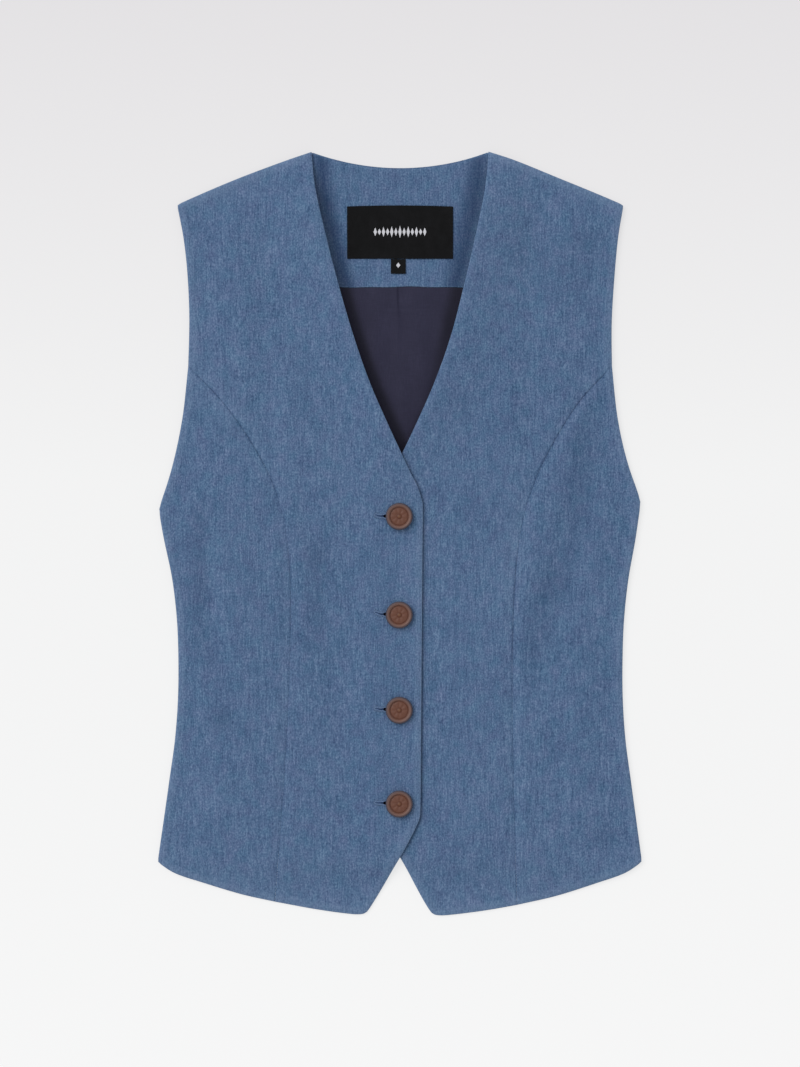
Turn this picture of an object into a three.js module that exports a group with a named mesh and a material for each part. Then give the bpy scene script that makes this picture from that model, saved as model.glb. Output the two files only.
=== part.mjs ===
// A close-fitting denim waistcoat, buttoned up and laid flat on its back.
// Millimetres. +X is to the right of the picture, +Y is towards the neck, +Z is up off the table.
// The drawing below is in two measures of the pattern: half, out from the centre front line,
// and up, from the tips of the front hem towards the neck.
import * as THREE from 'three';

// Driving sizes
const bodyLength = 610.4; // neck point to the tips of the front hem
const neckHalf = 70.8; // centre back to the neck point
const neckDrop = 12.4; // how far the back neck curve dips below the neck points
const shoulderHalf = 178.6; // centre back to the shoulder tip
const shoulderUp = 568.2;
const shoulderBulge = 1.4;
const underarm = { half: 192.6, up: 327.5 };
const hemCorner = { half: 193.4, up: 42.8 };
const backHemRise = 8; // the back hem is this much higher at its centre than at the side seams
const lapHalf = 18.4; // each front edge passes the centre front line by this much at its top
const lapFootHalf = 16.6; // and by this much at its foot
const lapTop = 329;
const lapFoot = 88; // where the front edge begins to turn into the cut-away point
const tip = { half: 26.4, up: 2.2 };
const facingFoot = 502.4; // lower edge of the back neck facing
const liningFoot = 346; // the lining ends out of sight below the point of the V
const liningFootHalf = 12;
const tuckUnder = 11; // facing and lining run on under the fronts by this much

// Cloth walls and how they lie on each other
const backWall = 1.4;
const facingWall = 1.4;
const liningWall = 1;
const frontWall = 2.2; // shell, interfacing and facing, pressed together
const labelWall = 1;
const seamGap = 0.3;
const layGap = 0.35; // between cloths that lie on each other
const loft = 3.2; // how far the fronts stand off the back in the middle of each panel
const neckLift = 6; // the neck edges stand higher still and shade what lies under them
const lapRise = 1.9; // the upper front steps up over the lap
const lapSink = 1; // the lower front dips under it
const seamValley = 0.9; // the shaping seams draw in
const coreHalf = 84; // the facing and the lining lie under the fronts inside this
const sideReach = 48; // the distances over which those heights ease in
const coreReach = 26;
const coreFade = 60;
const shoulderReach = 46;
const hemReach = 70;
const neckReach = 52;
const neckOnset = 90; // the lift starts at the top of the front edge and is full this far above it
const pointOfV = 371;
const lapReach = 28;
const tipReach = 27;
const valleyReach = 11;
const droopReach = 32; // below the back's hem the points of the fronts come down to the table
const droopMargin = 3;

const label = { width: 84.8, depth: 42.8, top: 567.8, arch: 1.2 };
const sizeTab = { width: 11.9, depth: 10.8, middle: -1.4 };
const buttonShankRadius = 3.2;
// A button's outline from the foot of its shank, round the rim and in to the middle of its face
const buttonProfile = [
  { across: 0, height: 0 },
  { across: buttonShankRadius, height: 0 },
  { across: buttonShankRadius, height: 1.2 },
  { across: 9.6, height: 1.2 },
  { across: 10.8, height: 2.2 },
  { across: 10.8, height: 3.3 },
  { across: 9.9, height: 4.2 },
  { across: 8.5, height: 4.2 },
  { across: 7.6, height: 2.9 },
  { across: 3.2, height: 2.9 },
  { across: 0, height: 3.3 },
];
const buttonSides = 24;
const buttonMiddle = -0.6;
const buttonUps = [318.8, 240.2, 164.2, 89.4];
const pleat = { middle: -2.2, width: 7, rise: 0.7, foot: 420 };

// Outlines, from the top down. The garment doesn't lie quite evenly, so right and left move a
// row's half out by that much for the wearer's right or left front.
const armhole = [
  { half: shoulderHalf, up: shoulderUp },
  { half: 173.5, up: 542 },
  { half: 170.3, up: 513 },
  { half: 168.8, up: 478 },
  { half: 169.6, up: 439.2 },
  { half: 174.6, up: 396 },
  { half: 182.8, up: 358 },
  underarm,
];
const seamStart = 4; // the row of the armhole where the shaping seam starts
const sideSeam = [
  underarm,
  { half: 188.4, up: 300 },
  { half: 182.4, up: 268 },
  { half: 178.8, up: 236 },
  { half: 177.6, up: 204 },
  { half: 178, up: 172 },
  { half: 180.4, up: 140 },
  { half: 184.8, up: 108 },
  { half: 189.2, up: 76 },
  hemCorner,
];
const shapingSeam = [
  armhole[seamStart],
  { half: 142.4, up: 410.4, right: -0.4, left: 0.9 },
  { half: 118.4, up: 376.8, right: -0.3, left: 3.7 },
  { half: 103.2, up: 346.4, right: -1, left: 4.3 },
  { half: 94.4, up: 313.6, right: -2, left: 3.3 },
  { half: 90, up: 269.6, right: -2, left: 2.1 },
  { half: 89.6, up: 212, right: -1.6, left: 0.4 },
  { half: 92.4, up: 110, right: 0.3, left: -1.7 },
  { half: 97, up: 9.6, right: 3.2, left: -3.2 },
];
const frontHem = [
  hemCorner,
  { half: 180, up: 34 },
  { half: 157.6, up: 25.6 },
  { half: 126.8, up: 16 },
  { half: 68, up: 4.2 },
  { half: 44, up: 0.8 },
  { half: 34, up: 0 },
  { half: 29, up: 0.6 },
  tip,
];
const hemSeamRow = 4; // the shaping seam meets the hem just before this row
// Where the half is negative, the edge has crossed the centre front line.
const cutAway = [
  tip,
  { half: 24, up: 5.4 },
  { half: 14.4, up: 20.9 },
  { half: 4.8, up: 37.8 },
  { half: -4.4, up: 53.8 },
  { half: -12.4, up: 69.6 },
  { half: -15.8, up: 77.8 },
  { half: -lapFootHalf, up: lapFoot },
];
const neckline = [
  { half: neckHalf, up: bodyLength },
  { half: 67.7, up: 582, right: 0.1, left: 0.2 },
  { half: 60.9, up: 550, right: 0, left: 0.7 },
  { half: 50.3, up: 505, right: -0.8, left: 1 },
  { half: 38.9, up: 463.5, right: -1.5, left: 1.7 },
  { half: 25.6, up: 425.5, right: -1.5, left: 1.6 },
  { half: 10.9, up: 392, right: -1.5, left: 1.5 },
  { half: 0.7, up: pointOfV, right: -1.1, left: 1.6 },
  { half: -8.6, up: 353.6, right: 0, left: 1.6 },
  { half: -14.6, up: 341.6, right: 0, left: 1 },
  { half: -lapHalf, up: lapTop },
];

// The largest soft folds of the fronts: x across the picture, lean in degrees from the length
const folds = [
  { x: 106, up: 300, length: 88, width: 19, lean: 12, rise: 1.1 },
  { x: 143, up: 308, length: 92, width: 14, lean: 13, rise: -1.6 },
  { x: -64, up: 246, length: 88, width: 13, lean: -6, rise: -1 },
  { x: -157, up: 272, length: 70, width: 10, lean: -3, rise: -1.6 },
  { x: -112, up: 352, length: 52, width: 16, lean: 24, rise: 0.8 },
  { x: -128, up: 208, length: 64, width: 17, lean: -4, rise: 0.8 },
  { x: -142, up: 152, length: 44, width: 11, lean: 5, rise: -0.8 },
  { x: 150, up: 176, length: 62, width: 15, lean: 5, rise: 0.7 },
  { x: 60, up: 330, length: 54, width: 17, lean: -16, rise: 0.6 },
  { x: -118, up: 520, length: 60, width: 26, lean: -28, rise: 0.7 },
  { x: 122, up: 508, length: 64, width: 24, lean: 26, rise: 0.6 },
  { x: 58, up: 120, length: 80, width: 22, lean: -6, rise: 0.6 },
];

const clamp = THREE.MathUtils.clamp;
const lerp = THREE.MathUtils.lerp;

function ease(distance, reach) {
  const share = clamp(distance / reach, 0, 1);
  return share * share * (3 - 2 * share);
}

// A smooth curve through the rows of an outline, as evenly spaced points {half, up}
function drawn(rows, steps) {
  const through = rows.map((row) => new THREE.Vector3(row.half, row.up, 0));
  const curve = new THREE.CatmullRomCurve3(through, false, 'centripetal');
  return curve.getSpacedPoints(steps).map((point) => ({ half: point.x, up: point.y }));
}

function straight(from, to, steps) {
  const points = [];
  for (let step = 0; step <= steps; step += 1) {
    const share = step / steps;
    points.push({ half: lerp(from.half, to.half, share), up: lerp(from.up, to.up, share) });
  }
  return points;
}

// Joins stretches end to end, dropping the doubled point at each join
function joined(...stretches) {
  return stretches.flatMap((stretch, index) => (index === 0 ? stretch : stretch.slice(1)));
}

// Reads one measure off an outline where the other has the value at
function readOff(points, known, wanted, at) {
  for (let index = 1; index < points.length; index += 1) {
    const a = points[index - 1];
    const b = points[index];
    const low = Math.min(a[known], b[known]);
    const high = Math.max(a[known], b[known]);
    if (at >= low && at <= high && high > low) {
      return lerp(a[wanted], b[wanted], (at - a[known]) / (b[known] - a[known]));
    }
  }
  const first = points[0];
  const last = points.at(-1);
  return Math.abs(at - first[known]) < Math.abs(at - last[known]) ? first[wanted] : last[wanted];
}

const fineSteps = 60;
const silhouette = joined(drawn(armhole, fineSteps), drawn(sideSeam, fineSteps));
const fineHem = drawn(frontHem, fineSteps * 2);
const fineNeckline = drawn(neckline, fineSteps);

function rowsOf(outline, hand) {
  return outline.map((row) => ({ half: row.half + (row[hand] ?? 0), up: row.up }));
}

// The lines of one front. side is -1 for the upper one, at the left of the picture, and 1 for the
// lower one, at its right.
function frontLines(hand, side) {
  const seam = rowsOf(shapingSeam, hand);
  const seamFoot = seam.at(-1);
  seamFoot.up = readOff(fineHem, 'half', 'up', seamFoot.half);
  return {
    hand,
    side,
    seam,
    fineSeam: drawn(seam, fineSteps),
    neckline: rowsOf(neckline, hand),
    outerHem: [...frontHem.slice(0, hemSeamRow), seamFoot],
    innerHem: [seamFoot, ...frontHem.slice(hemSeamRow)],
  };
}

const upperFront = frontLines('right', -1);
const lowerFront = frontLines('left', 1);

function shoulderLine(half) {
  const share = clamp((half - neckHalf) / (shoulderHalf - neckHalf), 0, 1);
  return lerp(bodyLength, shoulderUp, share) + shoulderBulge * 4 * share * (1 - share);
}

function backNeck(half) {
  return bodyLength - neckDrop * (1 - (half / neckHalf) ** 2);
}

function backHem(half) {
  return hemCorner.up + backHemRise * (1 - (half / hemCorner.half) ** 2);
}

function foldHeight(x, up) {
  let height = 0;
  for (const fold of folds) {
    const lean = THREE.MathUtils.degToRad(fold.lean);
    const dx = x - fold.x;
    const dy = up - fold.up;
    const along = dy * Math.cos(lean) + dx * Math.sin(lean);
    const across = dx * Math.cos(lean) - dy * Math.sin(lean);
    height += fold.rise * Math.exp(-((along / fold.length) ** 2) - (across / fold.width) ** 2);
  }
  return height;
}

// Height of the underside of a front above the table
function frontUnderside(x, up, front) {
  const half = Math.abs(x);
  const overBack = backWall + layGap;
  const coreShare = (1 - ease(half - coreHalf, coreReach)) * ease(up - liningFoot + coreFade, coreFade);
  const overFacing = (facingWall + seamGap) * coreShare;
  const fromSide = readOff(silhouette, 'up', 'half', up) - half;
  const fromShoulder = shoulderLine(half) - up;
  const hemUp = half < frontHem.at(-1).half ? 0 : readOff(fineHem, 'half', 'up', half);
  const fromHem = up - hemUp;
  const belowBack = backHem(Math.min(half, hemCorner.half)) - droopMargin - up;
  const held = 1 - ease(belowBack, droopReach);
  const open = ease(fromSide, sideReach) * ease(fromShoulder, shoulderReach);
  const body = open * ease(fromHem, hemReach);
  const fromNeck = half - readOff(fineNeckline, 'up', 'half', Math.max(up, lapTop));
  const neck = neckLift * (1 - ease(fromNeck, neckReach)) * ease(up - lapTop, neckOnset) * open;
  const fromSeam = Math.abs(half - readOff(front.fineSeam, 'up', 'half', up));
  const inSeam = up < armhole[seamStart].up ? 1 - ease(fromSeam, valleyReach) : 0;
  const acrossLap = x * front.side < 0 ? 1 : ease(lapHalf + lapReach - half, lapReach);
  const alongLap = ease(fromHem, tipReach) * (1 - ease(up - pointOfV, neckOnset));
  const lap = (front === upperFront ? lapRise : -lapSink) * acrossLap * alongLap;
  const raised = overFacing + (loft + foldHeight(x, up) - seamValley * inSeam) * body + neck + lap;
  return Math.max((overBack + raised) * held, 0);
}

// Points inside four sides that meet at their ends, each side a list of {x, up}
function filled(bottom, top, left, right) {
  const columns = bottom.length - 1;
  const rows = left.length - 1;
  const grid = [];
  for (let row = 0; row <= rows; row += 1) {
    const v = row / rows;
    const line = [];
    for (let column = 0; column <= columns; column += 1) {
      const u = column / columns;
      const point = {};
      for (const key of ['x', 'up']) {
        const lengthwise = lerp(bottom[column][key], top[column][key], v);
        const crosswise = lerp(left[row][key], right[row][key], u);
        const corners = lerp(
          lerp(bottom[0][key], bottom[columns][key], u),
          lerp(top[0][key], top[columns][key], u),
          v,
        );
        point[key] = lengthwise + crosswise - corners;
      }
      line.push(point);
    }
    grid.push(line);
  }
  return grid;
}

// A closed wall of cloth on a grid of points: underside and outside are heights at (x, up)
function clothWall(grid, underside, outside) {
  const rows = grid.length;
  const columns = grid[0].length;
  const positions = [];
  for (const height of [underside, outside]) {
    for (const line of grid) {
      for (const point of line) {
        positions.push(point.x, point.up, height(point.x, point.up));
      }
    }
  }
  const at = (layer, row, column) => (layer * rows + row) * columns + column;
  const triangles = [];
  const quad = (a, b, c, d) => triangles.push(a, b, c, a, c, d);
  for (let row = 0; row < rows - 1; row += 1) {
    const next = row + 1;
    for (let column = 0; column < columns - 1; column += 1) {
      const beside = column + 1;
      quad(at(1, row, column), at(1, row, beside), at(1, next, beside), at(1, next, column));
      quad(at(0, row, column), at(0, next, column), at(0, next, beside), at(0, row, beside));
    }
  }
  const head = rows - 1;
  for (let column = 0; column < columns - 1; column += 1) {
    const beside = column + 1;
    quad(at(0, 0, column), at(0, 0, beside), at(1, 0, beside), at(1, 0, column));
    quad(at(0, head, beside), at(0, head, column), at(1, head, column), at(1, head, beside));
  }
  const far = columns - 1;
  for (let row = 0; row < rows - 1; row += 1) {
    const next = row + 1;
    quad(at(0, next, 0), at(0, row, 0), at(1, row, 0), at(1, next, 0));
    quad(at(0, row, far), at(0, next, far), at(1, next, far), at(1, row, far));
  }
  const geometry = new THREE.BufferGeometry();
  geometry.setAttribute('position', new THREE.Float32BufferAttribute(positions, 3));
  geometry.setIndex(triangles);
  return geometry;
}

// Turns pattern points to the picture's side: -1 is the left, 1 the right
function placed(points, side, shift = 0) {
  return points.map((point) => ({ x: side * (point.half + shift), up: point.up }));
}

const denim = new THREE.MeshStandardMaterial({ color: 0x526a8a, roughness: 0.92, metalness: 0 });
const liningCloth = new THREE.MeshStandardMaterial({ color: 0x333244, roughness: 0.55, metalness: 0 });
const wovenLabel = new THREE.MeshStandardMaterial({ color: 0x19191a, roughness: 0.7, metalness: 0 });
const buttonBrown = new THREE.MeshStandardMaterial({ color: 0x6a4a3f, roughness: 0.5, metalness: 0.1 });

const vest = new THREE.Group();
vest.position.y = -bodyLength / 2;

function add(name, geometry, material) {
  geometry.computeVertexNormals();
  const mesh = new THREE.Mesh(geometry, material);
  mesh.name = name;
  vest.add(mesh);
  return mesh;
}

// How many quads each stretch of an edge is cut into
const steps = {
  across: 16,
  sidePanel: 8,
  seam: 26,
  upperArmhole: 8,
  cutAway: 8,
  frontEdge: 8,
  neckline: 18,
};

// A left-hand side mirrored to the right would be inside out, so its rows are turned round
function turned(grid, side) {
  return side < 0 ? grid.map((line) => [...line].reverse()) : grid;
}

function frontPanelGrid(front) {
  const { side } = front;
  const seamInset = -seamGap * 0.8;
  const seam = placed(drawn(front.seam, steps.seam), side, seamInset).reverse();
  const upperArmhole = placed(drawn(armhole.slice(0, seamStart + 1), steps.upperArmhole), side).reverse();
  upperArmhole[0] = seam.at(-1);
  const outer = joined(seam, upperArmhole);
  const point = placed(drawn(cutAway, steps.cutAway), side);
  const frontEdge = placed(straight(cutAway.at(-1), neckline.at(-1), steps.frontEdge), side);
  const neckEdge = placed(drawn(front.neckline, steps.neckline), side).reverse();
  const inner = joined(point, frontEdge, neckEdge);
  const hem = placed(drawn(front.innerHem, steps.across), side).reverse();
  hem[0] = inner[0];
  hem[hem.length - 1] = outer[0];
  const shoulder = straight({ half: neckHalf, up: 0 }, { half: shoulderHalf, up: 0 }, steps.across);
  const top = placed(
    shoulder.map((point) => ({ half: point.half, up: shoulderLine(point.half) })),
    side,
  );
  return turned(filled(hem, top, inner, outer), side);
}

function sidePanelGrid(front) {
  const { side } = front;
  const seamInset = seamGap * 0.8;
  const inner = placed(drawn(front.seam, steps.seam), side, seamInset).reverse();
  const outer = placed(drawn(sideSeam, steps.seam), side).reverse();
  const lowerArmhole = placed(drawn(armhole.slice(seamStart), steps.sidePanel), side);
  const hem = placed(drawn(front.outerHem, steps.sidePanel), side).reverse();
  hem[0] = inner[0];
  lowerArmhole[0] = inner.at(-1);
  return turned(filled(hem, lowerArmhole, inner, outer), side);
}

for (const front of [upperFront, lowerFront]) {
  const underside = (x, up) => frontUnderside(x, up, front);
  const outside = (x, up) => underside(x, up) + frontWall;
  add(`front_${front.hand}`, clothWall(frontPanelGrid(front), underside, outside), denim);
  add(`side_front_${front.hand}`, clothWall(sidePanelGrid(front), underside, outside), denim);
}

// One sheet from side to side, mirrored about the centre line: edge runs up its right-hand side
function symmetricGrid(edge, columns, footUp, headUp) {
  const right = placed(edge, 1);
  const left = placed(edge, -1);
  const foot = [];
  const head = [];
  for (let column = 0; column <= columns; column += 1) {
    const share = (2 * column) / columns - 1;
    const footX = share * right[0].x;
    const headX = share * right.at(-1).x;
    foot.push({ x: footX, up: footUp(Math.abs(footX)) });
    head.push({ x: headX, up: headUp(Math.abs(headX)) });
  }
  return filled(foot, head, left, right);
}

const backInset = 0.7; // the back keeps just inside the fronts' outline
const backSteps = { across: 22, armhole: 10, sideSeam: 12 };
const backEdge = joined(drawn(armhole, backSteps.armhole), drawn(sideSeam, backSteps.sideSeam))
  .reverse()
  .map((point) => ({ half: point.half - backInset, up: point.up }));
const backTop = (half) => (half < neckHalf ? backNeck(half) : shoulderLine(half));
backEdge[backEdge.length - 1].up = backTop(shoulderHalf - backInset);
backEdge[0].up = backHem(hemCorner.half - backInset);
const backGrid = symmetricGrid(backEdge, backSteps.across, backHem, backTop);
add('back', clothWall(backGrid, () => 0, () => backWall), denim);

// The facing and the lining lie side by side on the back, under the neck opening
const skinFloor = backWall + seamGap;
const skinHalf = (up) => Math.max(readOff(fineNeckline, 'up', 'half', up) + tuckUnder, liningFootHalf);
const facingTopInset = 1;

function skinEdge(footUp, headUp, stepCount) {
  return straight({ half: 0, up: footUp }, { half: 0, up: headUp }, stepCount).map((point) => ({
    half: skinHalf(point.up),
    up: point.up,
  }));
}

const facingSteps = { across: 18, along: 5 };
const facingHeadHalf = neckHalf + tuckUnder;
const facingTop = (half) => backTop(half) - facingTopInset;
const facingEdge = skinEdge(facingFoot, facingTop(facingHeadHalf), facingSteps.along);
const facingGrid = symmetricGrid(facingEdge, facingSteps.across, () => facingFoot, facingTop);
const facingOutside = skinFloor + facingWall;
add('back_neck_facing', clothWall(facingGrid, () => skinFloor, () => facingOutside), denim);

function pleatHeight(x, up) {
  const across = (pleat.middle - x) / pleat.width;
  const fade = ease(up - pleat.foot, facingFoot - pleat.foot);
  return across > 0 && across < 1 ? pleat.rise * fade * (1 - ease(across, 1)) : 0;
}

const liningSteps = { across: 24, along: 10 };
const liningEdge = skinEdge(liningFoot, facingFoot - seamGap, liningSteps.along);
const liningTop = facingFoot - seamGap;
const liningGrid = symmetricGrid(liningEdge, liningSteps.across, () => liningFoot, () => liningTop);
const liningOutside = (x, up) => skinFloor + liningWall + pleatHeight(x, up);
add('back_lining', clothWall(liningGrid, () => skinFloor, liningOutside), liningCloth);

// A small rectangle of tape on the facing, its upper edge arched a little
function tape(name, middle, width, top, depth, arch, columns) {
  const archAt = (x) => arch * (1 - ((x - middle) / (width / 2)) ** 2);
  const edge = (x, up) => ({ x, up: up + archAt(x) });
  const bottom = [];
  const head = [];
  for (let column = 0; column <= columns; column += 1) {
    const x = middle + width * (column / columns - 0.5);
    bottom.push(edge(x, top - depth));
    head.push(edge(x, top));
  }
  const left = [bottom[0], head[0]];
  const right = [bottom.at(-1), head.at(-1)];
  const floor = facingOutside + seamGap;
  const grid = filled(bottom, head, left, right);
  add(name, clothWall(grid, () => floor, () => floor + labelWall), wovenLabel);
}

tape('label', 0, label.width, label.top - label.arch, label.depth, label.arch, 8);
const tabTop = label.top - label.depth - label.arch - seamGap;
tape('size_tab', sizeTab.middle, sizeTab.width, tabTop, sizeTab.depth, 0, 2);

// A turned button with a raised rim, a sunken face and a short shank that stands on the cloth
function buttonGeometry() {
  const profile = buttonProfile.map((row) => new THREE.Vector2(row.across, row.height));
  const geometry = new THREE.LatheGeometry(profile, buttonSides);
  geometry.rotateX(Math.PI / 2);
  return geometry;
}

// The highest point of the upper front below a button
function seatUnder(up) {
  let seat = 0;
  for (let turn = 0; turn < buttonSides; turn += 1) {
    const angle = (turn / buttonSides) * Math.PI * 2;
    const x = buttonMiddle + buttonShankRadius * Math.cos(angle);
    const y = up + buttonShankRadius * Math.sin(angle);
    seat = Math.max(seat, frontUnderside(x, y, upperFront) + frontWall);
  }
  return seat;
}

buttonUps.forEach((up, index) => {
  const mesh = add(`button_${index + 1}`, buttonGeometry(), buttonBrown);
  mesh.position.set(buttonMiddle, up, seatUnder(up) + seamGap);
});

export default vest;
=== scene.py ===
import math
import bmesh
import bpy
import numpy as np
from mathutils import Matrix, Vector


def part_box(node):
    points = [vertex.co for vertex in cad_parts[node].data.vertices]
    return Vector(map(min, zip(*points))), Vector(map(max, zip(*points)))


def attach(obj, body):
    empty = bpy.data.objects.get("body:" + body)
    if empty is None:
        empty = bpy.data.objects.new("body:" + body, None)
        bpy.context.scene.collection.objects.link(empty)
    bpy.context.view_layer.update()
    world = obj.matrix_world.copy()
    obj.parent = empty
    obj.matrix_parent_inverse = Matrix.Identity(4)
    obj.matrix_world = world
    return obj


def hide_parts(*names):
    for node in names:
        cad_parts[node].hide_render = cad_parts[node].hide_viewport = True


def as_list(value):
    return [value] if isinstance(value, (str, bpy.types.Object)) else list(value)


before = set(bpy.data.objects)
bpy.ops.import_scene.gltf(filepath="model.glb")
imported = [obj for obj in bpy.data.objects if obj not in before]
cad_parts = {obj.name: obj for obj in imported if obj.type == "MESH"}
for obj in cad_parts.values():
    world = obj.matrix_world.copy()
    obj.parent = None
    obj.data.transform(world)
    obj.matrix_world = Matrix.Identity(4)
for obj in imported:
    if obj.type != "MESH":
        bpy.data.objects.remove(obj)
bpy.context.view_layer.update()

mm = 0.001

# A denim waistcoat, buttoned up and laid flat on its back, seen from straight above.
# The pattern is drawn in millimetres: half is out from the centre front line, up is from the
# tips of the front hem towards the neck, and x is across the picture. toFrame turns them to metres.
pattern = {
    "bodyLength": 610.4,
    "neckHalf": 70.8, "neckDrop": 12.4,
    "shoulderHalf": 178.6, "shoulderUp": 568.2, "shoulderBulge": 1.4,
    "backHemRise": 8, "backInset": 0.7,
    "pointOfV": 371,
    "lapHalf": 18.4, "lapFootHalf": 16.6, "lapTop": 329, "lapFoot": 88,
    "facingFoot": 502.4, "liningFoot": 346, "liningFootHalf": 12, "tuckUnder": 11,
}
cloth = {
    "backWall": 1.4, "facingWall": 1.4, "liningWall": 1.0, "frontWall": 2.2, "frontShell": 1.7,
    "layGap": 0.35, "seamGap": 0.3,
    "loft": 3.2, "neckLift": 6.0, "lapRise": 1.9, "lapSink": 1.0, "seamValley": 0.9,
    "coreHalf": 84, "coreReach": 26, "coreFade": 60,
    "sideReach": 48, "shoulderReach": 46, "hemReach": 70, "neckReach": 52, "neckOnset": 90,
    "lapReach": 28, "tipReach": 27, "valleyReach": 11, "droopReach": 32, "droopMargin": 3,
}

underarm = (192.6, 327.5)
hemCorner = (193.4, 42.8)
armhole = [
    (178.6, 568.2), (173.5, 542), (170.3, 513), (168.8, 478), (169.6, 439.2),
    (174.6, 396), (182.8, 358), underarm,
]
seamStart = 4  # the row of the armhole where the shaping seam starts
sideSeam = [
    underarm, (188.4, 300), (182.4, 268), (178.8, 236), (177.6, 204), (178, 172),
    (180.4, 140), (184.8, 108), (189.2, 76), hemCorner,
]
# The garment doesn't lie quite evenly: the last two columns move a row out by that much for the
# wearer's right front and left front
shapingSeam = [
    (169.6, 439.2, 0, 0), (142.4, 410.4, -0.4, 0.9), (118.4, 376.8, -0.3, 3.7),
    (103.2, 346.4, -1, 4.3), (94.4, 313.6, -2, 3.3), (90, 269.6, -2, 2.1),
    (89.6, 212, -1.6, 0.4), (92.4, 110, 0.3, -1.7), (97, 9.6, 3.2, -3.2),
]
hemTip = (26.4, 2.2)
frontHem = [
    hemCorner, (180, 34), (157.6, 25.6), (126.8, 16), (68, 4.2), (44, 0.8), (34, 0), (29, 0.6),
    hemTip,
]
hemSeamRow = 4  # the shaping seam meets the hem just before this row
cutAway = [
    hemTip, (24, 5.4), (14.4, 20.9), (4.8, 37.8), (-4.4, 53.8), (-12.4, 69.6), (-15.8, 77.8),
    (-16.6, 88),
]
neckline = [
    (70.8, 610.4, 0, 0), (67.7, 582, 0.1, 0.2), (60.9, 550, 0, 0.7), (50.3, 505, -0.8, 1),
    (38.9, 463.5, -1.5, 1.7), (25.6, 425.5, -1.5, 1.6), (10.9, 392, -1.5, 1.5),
    (0.7, 371, -1.1, 1.6), (-8.6, 353.6, 0, 1.6), (-14.6, 341.6, 0, 1), (-18.4, 329, 0, 0),
]

# The largest soft folds of the fronts, as on their solids. Each soft ridge has its place across
# and up, its length and width, its lean in degrees and its rise, which is negative for a trough.
folds = [
    (106, 300, 88, 19, 12, 1.1), (143, 308, 92, 14, 13, -1.6), (-64, 246, 88, 13, -6, -1),
    (-157, 272, 70, 10, -3, -1.6), (-112, 352, 52, 16, 24, 0.8), (-128, 208, 64, 17, -4, 0.8),
    (-142, 152, 44, 11, 5, -0.8), (150, 176, 62, 15, 5, 0.7), (60, 330, 54, 17, -16, 0.6),
    (-118, 520, 60, 26, -28, 0.7), (122, 508, 64, 24, 26, 0.6), (58, 120, 80, 22, -6, 0.6),
]
# Small creases, only on the fine cloth: uneven in length, depth and spacing
creases = [
    (146, 372, 30, 5, 14, -0.35), (127, 296, 34, 6, 9, -0.4), (116, 258, 22, 5, 15, -0.3),
    (158, 318, 26, 6, -12, 0.25), (-74, 322, 30, 5, -6, -0.35), (-62, 262, 24, 6, 8, -0.25),
    (-57, 208, 36, 6, -4, -0.25), (-152, 262, 40, 6, -7, -0.35), (-160, 330, 26, 7, 16, 0.3),
    (-132, 404, 28, 6, 38, 0.28), (138, 416, 24, 6, -36, 0.25), (-92, 470, 40, 8, 20, -0.22),
    (88, 452, 44, 7, -18, -0.25), (130, 540, 20, 6, 60, 0.22), (-140, 538, 22, 6, -58, 0.22),
    (56, 236, 40, 7, 5, 0.22), (68, 160, 30, 6, -8, -0.2), (-118, 132, 42, 7, 3, -0.22),
    (-144, 84, 26, 6, 10, 0.2), (124, 120, 36, 7, -5, -0.22), (148, 66, 22, 6, -14, 0.2),
    (-62, 46, 20, 6, 18, 0.2), (64, 40, 20, 7, -16, -0.2), (-105, 379, 9, 2.2, -20, -0.26),
    (-118, 392, 7, 2, -22, -0.2), (-110, 371, 8, 2, -14, -0.2), (-78, 314, 16, 2.6, -28, -0.22),
    (107, 341, 7, 2.2, 16, 0.22), (113, 352, 6, 2, 24, 0.18),
]
# Painted shade and painted highlight on the folds and creases: darker where they turn away from the
# light, lighter where they face it
paintedFoldShading = [
    (147, 370, 36, 13, 10, -0.25), (141, 320, 26, 13, 6, -0.25), (121, 265, 22, 14, 27, -0.3),
    (103, 218, 32, 11, 22, -0.24), (-159, 314, 20, 9, 0, -0.24), (-160, 262, 28, 9, 5, -0.28),
    (-154, 212, 28, 8, -13, -0.22), (-142, 156, 10, 9, 0, -0.4), (-66, 287, 12, 9, 0, -0.42),
    (-65, 248, 28, 8, -2, -0.2), (-54, 206, 20, 6, 18, -0.14), (-54, 154, 18, 6, 6, -0.15),
    (114, 522, 20, 20, 0, -0.1), (-94, 582, 14, 20, 0, -0.14), (147, 538, 12, 10, 12, -0.16),
    (38, 414, 10, 9, 0, -0.16), (164, 64, 10, 14, 0, -0.14), (90, 300, 42, 9, 3, 0.28),
    (-145, 575, 9, 26, 0, 0.16), (-142, 408, 42, 18, -39, 0.22), (-104, 377, 9, 1.7, -18, -0.34),
    (-100.4, 378, 8, 1.7, -18, 0.3), (-116, 385, 7, 1.6, -16, 0.34), (-119, 386, 6, 1.6, -16, -0.2),
    (-56, 379, 18, 12, 8, 0.14), (46, 357, 15, 13, -14, 0.14), (-150, 95, 15, 12, 0, 0.08),
    (-98, 160, 18, 8, 4, 0.14), (-70, 38, 10, 50, 0, 0.16), (84, 36, 10, 44, 0, 0.16),
]
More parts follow.
